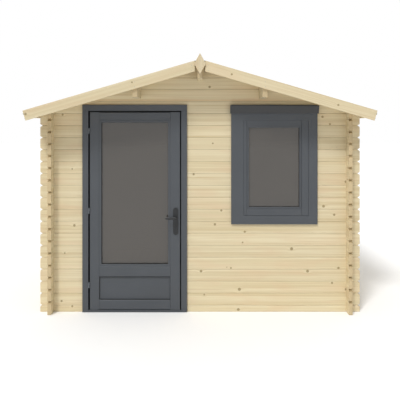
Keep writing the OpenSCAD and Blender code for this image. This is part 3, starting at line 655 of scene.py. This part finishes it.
def fixingTree(name, socketed):
    # Nail or screw heads on the carrier's points, each turned to its own facing and spun at random
    tree = geometryTree(name, [
        ("Head Radius", "NodeSocketFloat", 0.004), ("Head Height", "NodeSocketFloat", 0.0012),
        ("Seed", "NodeSocketInt", 1), ("Finish", "NodeSocketMaterial", None)])
    given = addNode(tree, "NodeGroupInput").outputs
    crown = addNode(tree, "ShaderNodeMath", {0: given["Head Radius"], 1: 0.8}, operation="MULTIPLY")
    head = addNode(tree, "GeometryNodeMeshCone",
                   {"Vertices": 12, "Radius Top": crown, "Radius Bottom": given["Head Radius"],
                    "Depth": given["Head Height"]})
    shape, top = head.outputs["Mesh"], head.outputs["Top"]
    if socketed:
        for spread, deep in ((0.5, 0.0), (1.0, -0.8)):
            depth = addNode(tree, "ShaderNodeMath", {0: given["Head Height"], 1: deep}, operation="MULTIPLY")
            pushed = addNode(tree, "GeometryNodeExtrudeMesh",
                             {"Mesh": shape, "Selection": top, "Offset Scale": depth})
            scaled = addNode(tree, "GeometryNodeScaleElements",
                             {"Geometry": pushed.outputs["Mesh"], "Selection": pushed.outputs["Top"],
                              "Scale": spread})
            shape, top = scaled.outputs[0], pushed.outputs["Top"]
    facing = addNode(tree, "GeometryNodeInputNamedAttribute", {"Name": "facing"}, data_type="FLOAT_VECTOR")
    aim = addNode(tree, "FunctionNodeAlignRotationToVector", {"Vector": facing.outputs["Attribute"]},
                  axis="Z")
    chance = addNode(tree, "FunctionNodeRandomValue", {2: 0.0, 3: 6.283, "Seed": given["Seed"]},
                     data_type="FLOAT")
    spin = addNode(tree, "FunctionNodeAxisAngleToRotation", {"Axis": (0, 0, 1), "Angle": chance.outputs[1]})
    spun = addNode(tree, "FunctionNodeRotateRotation", {"Rotation": aim, "Rotate By": spin},
                   rotation_space="LOCAL")
    heads = addNode(tree, "GeometryNodeInstanceOnPoints",
                    {"Points": given["Geometry"], "Instance": shape, "Rotation": spun})
    real = addNode(tree, "GeometryNodeRealizeInstances", {"Geometry": heads})
    done = addNode(tree, "GeometryNodeSetMaterial", {"Geometry": real, "Material": given["Finish"]})
    addNode(tree, "NodeGroupOutput", {0: done})
    return tree


def grow(name, tree, sizes, carrier=None):
    # Runs a tree once with its inputs set and keeps only the plain mesh
    holder = bpy.data.objects.new(name + "Holder", carrier or bpy.data.meshes.new(name + "Carrier"))
    bpy.context.scene.collection.objects.link(holder)
    modifier = holder.modifiers.new(name, "NODES")
    modifier.node_group = tree
    for socket in tree.interface.items_tree:
        if socket.in_out == "INPUT" and socket.name in sizes:
            modifier[socket.identifier] = sizes[socket.name]
    view = bpy.context.evaluated_depsgraph_get()
    mesh = bpy.data.meshes.new_from_object(holder.evaluated_get(view))
    holder.modifiers.clear()
    bpy.data.objects.remove(holder)
    mesh.name = name
    return mesh


boards = boardTree()
nails = fixingTree("nailHeads", False)
screws = fixingTree("screwHeads", True)


def fixings(name, tree, spots, sizes, material, body="shed"):
    # spots are pairs of a place and the way that the head faces
    carrier = bpy.data.meshes.new(name + "Points")
    carrier.from_pydata([spot[0] for spot in spots], [], [])
    facing = carrier.attributes.new("facing", "FLOAT_VECTOR", "POINT")
    facing.data.foreach_set("vector", [c for spot in spots for c in spot[1]])
    addPiece(name, grow(name, tree, dict(sizes, Finish=material), carrier), material, body)


print("helpers and node trees are ready")

# Timber, paint, glass and fittings whose CAD shape is right, by node. edge is how far the arrises are eased
# and chamfer is cut from the front corners, both in millimetres, and the sash's rails meet its stiles just
# outside the glazing beads
beadLow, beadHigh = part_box("window_beads")
beadToJoint = 2.5 * mm
sashJoints = [edge / mm for edge in (beadLow.x - beadToJoint, beadHigh.x + beadToJoint)]
dressPlans = (
    ({"material": frontSpruce, "edge": 1.2, "seed": 2.0},
     ("front_wall_left", "front_wall_low", "front_wall_middle", "front_wall_right", "front_gable")),
    ({"material": backSpruce, "edge": 1.2, "seed": 9.1}, ("back_wall", "back_gable")),
    ({"material": sideSpruce, "edge": 1.2, "seed": 17.3}, ("left_wall",)),
    ({"material": sideSpruce, "edge": 1.2, "seed": 25.9}, ("right_wall",)),
    ({"material": purlinSpruce, "edge": 2.0, "seed": 31.7}, ("ridge_purlin",)),
    ({"material": purlinSpruce, "edge": 2.0, "seed": 33.2}, ("left_purlin",)),
    ({"material": purlinSpruce, "edge": 2.0, "seed": 35.8}, ("right_purlin",)),
    ({"material": bargeSpruce[-1], "edge": 2.0, "seed": 41.4}, ("front_left_bargeboard",)),
    ({"material": bargeSpruce[1], "edge": 2.0, "seed": 43.6}, ("front_right_bargeboard",)),
    ({"material": bargeSpruce[-1], "edge": 2.0, "seed": 45.1}, ("back_left_bargeboard",)),
    ({"material": bargeSpruce[1], "edge": 2.0, "seed": 47.9}, ("back_right_bargeboard",)),
    ({"material": finialSpruce, "edge": 2.5, "seed": 51.3}, ("front_finial",)),
    ({"material": finialSpruce, "edge": 2.5, "seed": 53.8}, ("back_finial",)),
    ({"material": eaveSpruce, "edge": 2.0, "seed": 55.2}, ("left_eave_board",)),
    ({"material": eaveSpruce, "edge": 2.0, "seed": 57.7}, ("right_eave_board",)),
    ({"material": bearerSpruce, "seed": 61.4}, ("floor_bearers",)),
    ({"material": uprightPaint, "edge": 2.0}, ("door_left_jamb", "door_right_jamb")),
    ({"material": levelPaint, "edge": 2.0}, ("door_head", "door_threshold")),
    ({"material": uprightPaint, "edge": 1.0, "chamfer": 3.0}, ("door_stiles",)),
    ({"material": levelPaint, "edge": 1.0, "chamfer": 6.0}, ("door_rails",)),
    ({"material": levelPaint, "edge": 1.0}, ("door_lower_panel",)),
    ({"material": uprightPaint}, ("door_beads",)),
    ({"material": uprightPaint, "edge": 1.2}, ("window_frame",)),
    ({"material": uprightPaint, "edge": 1.0, "joints": sashJoints}, ("window_sash",)),
    ({"material": uprightPaint}, ("window_beads",)),
    ({"material": darkPaint}, ("window_head_cap",)),
    ({"material": glass, "edge": 0.5}, ("door_glass", "window_glass")),
    ({"material": greyCoat, "edge": 0.4, "name": "hingesOnFrame"}, ("door_hinges_frame_half",)),
    ({"material": greyCoat, "edge": 0.4, "name": "hingesOnLeaf"}, ("door_hinges_leaf_half",)),
    ({"material": blackCoat, "edge": 1.0}, ("handle_plates",)),
)
for plan, nodes in dressPlans:
    for node in nodes:
        dressed(node, **plan)
print("timber, paint and glass are dressed")

# Roof boards run down the slope and floor boards run from front to back
roofBoardPlan = {"Board Width": plankWidth, "Board Thickness": roofBoardThick, "Count": plankCount,
                 "Joint Gap": 0.6 * mm, "Chamfer": 3 * mm, "Unevenness": 0.3 * mm}
ridgeCut = {"past": 10 * mm, "gap": 0.2 * mm}     # run past the ridge, and cut off where the two slopes meet
for side, sideName in sides:
    sizes = {"Board Length": roofEnd + ridgeCut["past"], "Seed": 11 + side, "Finish": slopeSpruce[side]}
    mesh = grow("roofBoards" + sideName, boards, dict(roofBoardPlan, **sizes))
    mesh.transform(onSlope(side) @ Matrix.Translation((-ridgeCut["past"], -roofHalf, 0)))
    shape = bmesh.new()
    shape.from_mesh(mesh)
    bmesh.ops.bisect_plane(shape, geom=shape.verts[:] + shape.edges[:] + shape.faces[:], clear_outer=True,
                           plane_co=(side * ridgeCut["gap"], 0, 0), plane_no=(-side, 0, 0))
    bmesh.ops.holes_fill(shape, edges=[e for e in shape.edges if e.is_boundary], sides=0)
    bmesh.ops.recalc_face_normals(shape, faces=shape.faces)
    shape.to_mesh(mesh)
    shape.free()
    standIn("roofBoards" + sideName, mesh, slopeSpruce[side], "roof_boards_" + sideName.lower())

floorBoardPlan = {"Board Length": floorHigh.y - floorLow.y, "Board Width": floorWidth,
                  "Board Thickness": floorHigh.z - floorLow.z, "Count": floorCount, "Joint Gap": 1.0 * mm,
                  "Chamfer": 2 * mm, "Unevenness": 0.0, "Seed": 23, "Finish": floorSpruce}
mesh = grow("floorBoards", boards, floorBoardPlan)
turn = Matrix.Rotation(math.radians(90), 4, "Z")
mesh.transform(Matrix.Translation((floorHigh.x, floorLow.y, floorLow.z)) @ turn)
standIn("floorBoards", mesh, floorSpruce, "floor_boards")
print("boards are laid")

# Felt in two strips a side, the upper lapped over the lower, with its edge turned down at the eave, in
# millimetres. lapAt is where the upper strip ends, down the slope from the ridge
feltPlan = {
    "seat": 0.3, "thick": 3.0, "lap": 75.0, "lapAt": 855.0, "lapGap": 0.5,
    "rampFrom": 30, "rampTo": 4,        # the upper strip climbs from before the lower one's edge to past it
    "pastEave": 2.0, "bend": ((-2, -0.6), (0.3, -3.0)),     # points along the slope and off it, at the eave
    "lipDown": 2, "lipFrom": 6.0, "lip": 28.0,
    "ridgeFrom": 8, "ridgeReach": 250.0,
    "capFrom": 12, "capEnd": 2, "capRise": 1.6,       # of the ridge strip: first point, end and middle
    "step": 120, "ridgeStep": 60,       # between the points of a strip
    "steps": 48,                        # along the ridge
}
cloutPlan = {"Head Radius": 5 * mm, "Head Height": 1.2 * mm, "Seed": 5}
# where the clout nails go, in millimetres: in from the ends, edges and gables, and how far apart
nailPlan = {"inEnd": 20, "inEdge": 22, "inGable": 18, "downLip": 18, "gableFrom": 300, "gableEnd": 30,
            "apart": 90, "gableApart": 150, "ridgeApart": 120}


def layStrip(shape, path, place, half, plan):
    # A sheet swept along Y; path gives the middle of its thickness in millimetres
    points = [Vector(p) for p in path]
    upper, lower = [], []
    for i, p in enumerate(points):
        run = points[min(i + 1, len(points) - 1)] - points[max(i - 1, 0)]
        off = Vector((-run.y, run.x)).normalized() * plan["thick"] / 2
        upper.append(p + off)
        lower.append(p - off)
    outline = upper + lower[::-1]
    rings = []
    for k in range(plan["steps"] + 1):
        y = -half + 2 * half * k / plan["steps"]
        rings.append([shape.verts.new(place @ Vector((at.x * mm, y, at.y * mm))) for at in outline])
    for a, b in zip(rings, rings[1:]):
        bridge(shape, a, b)
    last = len(outline) - 1
    for ring in (rings[0], rings[-1]):
        for i in range(len(points) - 1):
            shape.faces.new((ring[i], ring[i + 1], ring[last - i - 1], ring[last - i]))


def spaced(low, high, step):
    # Even places from low to high, no further apart than step
    count = max(1, math.ceil((high - low) / step))
    return [low + (high - low) * i / count for i in range(count + 1)]


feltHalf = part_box("roof_felt_right")[1].y
thick = feltPlan["thick"]
lapRise = thick + feltPlan["lapGap"]
feltMiddle = roofBoardThick / mm + feltPlan["seat"] + thick / 2          # off the boards' underside
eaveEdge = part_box("right_eave_board")[1].x / mm + feltPlan["pastEave"]
eaveAt = (eaveEdge - feltMiddle * sinPitch) / cosPitch
lapEnd = feltPlan["lapAt"]
lapTop = lapEnd - feltPlan["lap"]
lipMiddle = feltMiddle - feltPlan["lipDown"]
nailLow, nailHigh = -feltHalf + nailPlan["inEnd"] * mm, feltHalf - nailPlan["inEnd"] * mm
nailSpots = []
for side, sideName in sides:
    place = onSlope(side)
    lower = [(s, feltMiddle) for s in spaced(lapTop, eaveAt - 6, feltPlan["step"])]
    lower += [(eaveAt + s, feltMiddle + rise) for s, rise in feltPlan["bend"]]
    lower += [(eaveAt + sinPitch * d, lipMiddle - cosPitch * d)
              for d in (feltPlan["lipFrom"], feltPlan["lip"])]
    upper = [(s, feltMiddle)
             for s in spaced(feltPlan["ridgeFrom"], lapTop - feltPlan["rampFrom"], feltPlan["step"])]
    upper += [(s, feltMiddle + lapRise) for s in (lapTop + feltPlan["rampTo"], (lapTop + lapEnd) / 2, lapEnd)]
    shape = bmesh.new()
    for path in (lower, upper):
        layStrip(shape, path, place, feltHalf, feltPlan)
    name = "roofFelt" + sideName
    standIn(name, closeShape(name, shape, 50), felt, "roof_felt_" + sideName.lower())
    # clout nails along the lap, the lip and the two sloping edges
    off = place.to_3x3() @ zAxis
    crown = (feltMiddle + thick / 2) * mm
    down = nailPlan["downLip"]
    for y in spaced(nailLow, nailHigh, nailPlan["apart"] * mm):
        nailSpots.append((place @ Vector(((lapEnd - nailPlan["inEdge"]) * mm, y, crown + lapRise * mm)), off))
        lip = place @ Vector(((eaveAt + sinPitch * down) * mm, y, (lipMiddle - cosPitch * down) * mm))
        nailSpots.append((lip + Vector((side * thick / 2 * mm, 0, 0)), Vector((side, 0, 0))))
    for s in spaced(nailPlan["gableFrom"] * mm, roofEnd - nailPlan["gableEnd"] * mm,
                    nailPlan["gableApart"] * mm):
        rise = lapRise * mm if lapTop < s / mm < lapEnd else 0.0
        for y in (-feltHalf + nailPlan["inGable"] * mm, feltHalf - nailPlan["inGable"] * mm):
            nailSpots.append((place @ Vector((s, y, crown + rise)), off))

ridgeMiddle = feltMiddle + thick + feltPlan["seat"]
halfPath = [(s * cosPitch + ridgeMiddle * sinPitch, ridgeZ / mm - s * sinPitch + ridgeMiddle * cosPitch)
            for s in spaced(feltPlan["capFrom"], feltPlan["ridgeReach"] - feltPlan["capEnd"],
                            feltPlan["ridgeStep"])]
ridgeTop = (0, halfPath[0][1] + feltPlan["capRise"])
ridgePath = [(-x, z) for x, z in reversed(halfPath)] + [ridgeTop] + halfPath
shape = bmesh.new()
layStrip(shape, ridgePath, Matrix.Identity(4), feltHalf, feltPlan)
standIn("ridgeFelt", closeShape("ridgeFelt", shape, 50), felt, "ridge_felt")
crown = (ridgeMiddle + thick / 2) * mm
for side, sideName in sides:
    place = onSlope(side)
    for y in spaced(nailLow, nailHigh, nailPlan["ridgeApart"] * mm):
        spot = Vector(((feltPlan["ridgeReach"] - nailPlan["inEdge"]) * mm, y, crown))
        nailSpots.append((place @ spot, place.to_3x3() @ zAxis))
fixings("feltNails", nails, nailSpots, cloutPlan, galvanised)
print("roof is felted")

# Countersunk screws, their heads a shade proud so that they show: two a board on each bearer, and one row on
# the eave boards. Places are in millimetres
woodScrewPlan = {"Head Radius": 4 * mm, "Head Height": 1.0 * mm, "Seed": 7}
woodScrewAt = {"half": 30, "inBearer": 22, "apart": 550, "inEave": 80, "eaveUp": 14, "eaveApart": 600}
screwSpots = []
bearerLow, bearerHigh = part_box("floor_bearers")
inBearer = woodScrewAt["inBearer"] * mm
for x in spaced(floorLow.x + floorWidth / 2, floorHigh.x - floorWidth / 2, floorWidth * 1.001):
    for y in spaced(bearerLow.y + inBearer, bearerHigh.y - inBearer, woodScrewAt["apart"] * mm):
        for dx in (-woodScrewAt["half"] * mm, woodScrewAt["half"] * mm):
            screwSpots.append((Vector((x + dx, y, floorHigh.z)), zAxis))
inEave = woodScrewAt["inEave"] * mm
for nodeSide, xSide in (("left", -1), ("right", 1)):
    eaveLow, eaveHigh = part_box(nodeSide + "_eave_board")
    face = eaveHigh.x if xSide > 0 else eaveLow.x
    for y in spaced(eaveLow.y + inEave, eaveHigh.y - inEave, woodScrewAt["eaveApart"] * mm):
        screwSpots.append((Vector((face, y, eaveLow.z + woodScrewAt["eaveUp"] * mm)), Vector((xSide, 0, 0))))
fixings("woodScrews", screws, screwSpots, woodScrewPlan, zinc)

# Pairs of screws near both ends of a bargeboard and at the side purlin, and two screws in each finial
trimScrewPlan = {"Head Radius": 3 * mm, "Head Height": 0.8 * mm, "Seed": 8}
trimScrewAt = {"out": (75, 577, 1545), "half": 22, "under": 30, "finialFoot": 50, "finialTop": 70}
screwSpots = []
for facing, end in ((-1, "front"), (1, "back")):
    outward = Vector((0, facing, 0))
    for nodeSide, xSide in (("left", -1), ("right", 1)):
        bargeLow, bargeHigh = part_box(end + "_" + nodeSide + "_bargeboard")
        face = bargeLow.y if facing < 0 else bargeHigh.y
        for x in trimScrewAt["out"]:
            z = ridgeZ - (x * mm / cosPitch) * sinPitch - trimScrewAt["under"] * mm
            for dz in (-trimScrewAt["half"] * mm, trimScrewAt["half"] * mm):
                screwSpots.append((Vector((xSide * x * mm, face, z + dz)), outward))
    finialLow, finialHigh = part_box(end + "_finial")
    face = finialLow.y if facing < 0 else finialHigh.y
    for z in (finialLow.z + trimScrewAt["finialFoot"] * mm, finialHigh.z - trimScrewAt["finialTop"] * mm):
        screwSpots.append((Vector((0, face, z)), outward))
fixings("trimScrews", screws, screwSpots, trimScrewPlan, zinc)

# Seals, in millimetres: rubber round the glass and the lower panel, its black also painted shade in their
# reveals, round the sash, and behind and under the door's leaf
sealPlan = {
    "width": 1.2, "beadDoor": 20.0, "beadWindow": 16.0,       # of a gasket, and of the beads that it lines
    "behindBead": 2.0, "behindRail": 3.0, "offPane": 0.2,
    "sashGap": 3.0, "sashSlack": 0.1, "sashFront": 1.5, "sashBack": 9.0,
    "leafLeft": 15.0, "leafRight": 10.0, "leafTop": 12.0,     # how far the door's seal reaches past the leaf
    "hingeSlack": 1.5, "leafSeat": 0.5, "leafDeep": 5.0,
}
# the strip that closes the gap above the sash, flush with it
stripPlan = {"back": 0.6, "down": 1.5, "slack": 0.4, "thick": 1.6, "high": 2.8, "edge": 0.3}
# the lip's section behind the leaf's face and under its foot, and how far it stops short at each side
lipPlan = {"section": ((1.2, 0.05), (1.2, 2.6), (2.0, 4.2), (3.4, 4.5), (4.8, 3.9), (5.2, 0.05)), "short": 2}


def boxRect(node, margin=0.0):
    # left, right, foot and top of a node, drawn in by a margin, in millimetres
    low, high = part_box(node)
    return (low.x / mm + margin, high.x / mm - margin, low.z / mm + margin, high.z / mm - margin)


def shrunk(rect, by):
    return (rect[0] + by, rect[1] - by, rect[2] + by, rect[3] - by)


def facesOf(node):
    # front and back of a node, in millimetres
    low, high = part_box(node)
    return low.y / mm, high.y / mm


def mitredRun(shape, outer, inner, front, back, openFoot=False):
    # A rectangular section swept between two rectangles with mitred corners, from y front to y back
    rings = []
    for across, upright in ((0, 2), (0, 3), (1, 3), (1, 2)):
        section = ((outer, front), (inner, front), (inner, back), (outer, back))
        rings.append([shape.verts.new((rect[across] * mm, y * mm, rect[upright] * mm)) for rect,
                      y in section])
    for k in range(3 if openFoot else 4):
        bridge(shape, rings[k], rings[(k + 1) % 4])
    if openFoot:
        shape.faces.new(rings[0])
        shape.faces.new(rings[3])


# the gaskets that line the reveals of the panes and the panel are real seals and painted shade at once
doorShape, windowShape = bmesh.new(), bmesh.new()
for shape, beads, pane, bead in ((doorShape, "door_beads", "door_glass", sealPlan["beadDoor"]),
                                 (windowShape, "window_beads", "window_glass", sealPlan["beadWindow"])):
    gap = boxRect(beads, bead)
    front, back = facesOf(pane)
    beadFront, beadBack = facesOf(beads)
    for near, far in ((beadFront + sealPlan["behindBead"], front - sealPlan["offPane"]),
                      (back + sealPlan["offPane"], beadBack - sealPlan["behindBead"])):
        mitredRun(shape, gap, shrunk(gap, sealPlan["width"]), near, far)
panelGap = boxRect("door_lower_panel")
mitredRun(doorShape, panelGap, shrunk(panelGap, sealPlan["width"]),
          facesOf("door_rails")[0] + sealPlan["behindRail"],
          facesOf("door_lower_panel")[0] - sealPlan["offPane"])
addPiece("doorGasketsAndShade", closeShape("doorGasketsAndShade", doorShape), rubber, "door")
addPiece("windowGasketsAndShade", closeShape("windowGasketsAndShade", windowShape), rubber)

sashRect = boxRect("window_sash", -sealPlan["sashGap"])
sashFront = facesOf("window_sash")[0]
shape = bmesh.new()
mitredRun(shape, shrunk(sashRect, sealPlan["sashSlack"]),
          shrunk(sashRect, sealPlan["sashGap"] - sealPlan["sashSlack"]),
          sashFront + sealPlan["sashFront"], sashFront + sealPlan["sashBack"])
addPiece("sashSeal", closeShape("sashSeal", shape), greyRubber)

middle = ((sashRect[0] + sashRect[1]) / 2 * mm, (sashFront + stripPlan["back"]) * mm,
          (sashRect[3] - stripPlan["down"]) * mm)
size = ((sashRect[1] - sashRect[0] - stripPlan["slack"]) * mm, stripPlan["thick"] * mm,
        stripPlan["high"] * mm, 1)
shape = bmesh.new()
bmesh.ops.create_cube(shape, size=1.0, matrix=Matrix.Translation(middle) @ Matrix.Diagonal(size))
bmesh.ops.bevel(shape, geom=shape.edges[:], offset=stripPlan["edge"] * mm, segments=1, affect="EDGES")
addPiece("sashTopStrip", closeShape("sashTopStrip", shape), levelPaint)

left, right, leafFoot, top = boxRect("door_stiles")
leafFront, leafBack = facesOf("door_stiles")
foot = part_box("door_threshold")[1].z / mm + sealPlan["leafSeat"]
shape = bmesh.new()
mitredRun(shape,
          (left - sealPlan["leafLeft"], right + sealPlan["leafRight"], foot, top + sealPlan["leafTop"]),
          (left - sealPlan["hingeSlack"], right, foot, top), leafBack + sealPlan["leafSeat"],
          leafBack + sealPlan["leafDeep"], openFoot=True)
addPiece("doorSeal", closeShape("doorSeal", shape), rubber)

# a rubber lip hangs under the leaf and stops short of the threshold, so that the door swings free
shape = bmesh.new()
loft(shape, [[(x * mm, (leafFront + y) * mm, (leafFoot - drop) * mm) for y, drop in lipPlan["section"]]
             for x in (left + lipPlan["short"], right - lipPlan["short"])])
addPiece("doorFootLip", closeShape("doorFootLip", shape), greyRubber, "door")
print("screws and seals are in")

# Lever handles, in millimetres: a flat bar that droops from its neck, as cast and powder coated
leverPlan = {
    # along the bar from the spindle, half height, half depth, droop
    "stations": ((-9.0, 4.0, 2.5, 0), (-8.2, 7.5, 4.5, 0), (-5.5, 9.8, 6.0, 0), (0, 11.0, 6.6, 0),
                 (9, 11.0, 6.6, 0.8), (20, 11.0, 6.4, 3.0), (32, 11.0, 6.2, 4.6), (48, 10.6, 6.0, 5.6),
                 (66, 10.0, 5.8, 5.9), (82, 9.4, 5.6, 5.5), (90, 8.4, 5.0, 5.2), (93.6, 6.2, 3.8, 5.0),
                 (95, 3.0, 2.0, 5.0)),
    "sides": 20, "squareness": 0.7, "barIn": 9,
    "neckRadius": 8.6, "neckSides": 24, "neck": ((0.02, 1.0), (0.55, 1.0), (0.75, 1.03), (0.95, 1.15)),
}
rosePlan = {"radius": 13.0, "height": 4.0, "sides": 32,
            "profile": ((0.05, 1.0), (0.7, 1.0), (0.92, 0.97), (1.0, 0.9))}
cylinderPlan = {"below": 92.0, "radius": 8.5, "foot": 5.0, "drop": 24.0, "footTop": -0.6, "seat": 0.1,
                "proud": 2.5, "ease": 0.5, "faceSize": 0.95, "slotWide": 1.0, "slotHigh": 4.5,
                "slotFloor": 0.4, "sides": 32}
plateScrewPlan = {"Head Radius": 3.6 * mm, "Head Height": 1.2 * mm, "Seed": 3}
plateScrewIn = 16             # from the plates' ends
leverHinge = next(j for j in record["behaviour"]["joints"] if "lever" in j["name"])
spindleX, leverZ = leverHinge["pos_m"][0] * 1000, leverHinge["pos_m"][2] * 1000
plateLow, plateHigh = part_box("handle_plates")


def turned(shape, plateY, reach, radius, profile, count):
    # A round piece on the spindle's axis; profile gives shares of its reach off the plate and of its radius
    rings = []
    for share, size in profile:
        ring = []
        for i in range(count):
            turn = 2 * math.pi * i / count
            ring.append(Vector((spindleX + radius * size * math.cos(turn), plateY + share * reach,
                                leverZ + radius * size * math.sin(turn))) * mm)
        rings.append(ring)
    loft(shape, rings)


def leverShape(plateY, barY, plan):
    shape = bmesh.new()
    power = plan["squareness"]
    rings = []
    for along, high, deep, droop in plan["stations"]:
        ring = []
        for i in range(plan["sides"]):
            turn = 2 * math.pi * i / plan["sides"]
            c, s = math.cos(turn), math.sin(turn)
            ring.append(((spindleX - along) * mm, (barY + math.copysign(abs(c) ** power, c) * deep) * mm,
                         (leverZ - droop + math.copysign(abs(s) ** power, s) * high) * mm))
        rings.append(ring)
    loft(shape, rings)
    turned(shape, plateY, barY - plateY, plan["neckRadius"], plan["neck"], plan["neckSides"])
    return shape


def outlineRing(count, reachAt):
    # Points round a centre, starting at the top, each as far out as reachAt says
    ring = []
    for i in range(count):
        turn = 2 * math.pi * i / count + math.pi / 2
        c, s = math.cos(turn), math.sin(turn)
        ring.append((c * reachAt(c, s), s * reachAt(c, s)))
    return ring


def boxReach(halfWide, halfHigh, c, s):
    # How far out a rectangle's edge lies; the small number keeps a straight line up or across finite
    return min(halfWide / max(abs(c), 1e-6), halfHigh / max(abs(s), 1e-6))


def cylinderReach(c, s):
    # A profile cylinder is round above and has a straight-sided foot below
    if s < cylinderPlan["footTop"]:
        return boxReach(cylinderPlan["foot"], cylinderPlan["drop"], c, s)
    return cylinderPlan["radius"]


def slotReach(c, s):
    return boxReach(cylinderPlan["slotWide"], cylinderPlan["slotHigh"], c, s)


for node, outward in (("outside_lever", -1), ("inside_lever", 1)):
    low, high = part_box(node)
    plateY = (plateLow.y if outward < 0 else plateHigh.y) / mm
    barY = (low.y / mm + leverPlan["barIn"]) if outward < 0 else (high.y / mm - leverPlan["barIn"])
    shape = leverShape(plateY, barY, leverPlan)
    standIn(camelName(node), closeShape(camelName(node), shape, 40), blackCoat, node)

# Roses round the necks, profile cylinders with their key slots, and the plates' screws
outline = outlineRing(cylinderPlan["sides"], cylinderReach)
slot = outlineRing(cylinderPlan["sides"], slotReach)
proud = cylinderPlan["proud"]
centreZ = leverZ - cylinderPlan["below"]
shape = bmesh.new()
plateSpots = []
for outward, plateY in ((-1, plateLow.y / mm), (1, plateHigh.y / mm)):
    turned(shape, plateY, outward * rosePlan["height"], rosePlan["radius"], rosePlan["profile"],
           rosePlan["sides"])
    rings = []
    for ring, off, size in ((outline, cylinderPlan["seat"], 1.0),
                            (outline, proud - cylinderPlan["ease"], 1.0),
                            (outline, proud, cylinderPlan["faceSize"]), (slot, proud, 1.0),
                            (slot, cylinderPlan["slotFloor"], 1.0)):
        rings.append([Vector((spindleX + x * size, plateY + outward * off, centreZ + z * size)) * mm
                      for x, z in ring])
    loft(shape, rings)
    for z in (plateLow.z / mm + plateScrewIn, plateHigh.z / mm - plateScrewIn):
        plateSpots.append((Vector((spindleX, plateY, z)) * mm, Vector((0, outward, 0))))
addPiece("handleRoses", closeShape("handleRoses", shape, 35), blackCoat, "door")
fixings("plateScrews", screws, plateSpots, plateScrewPlan, blackCoat, body="door")
print("handles are fitted")
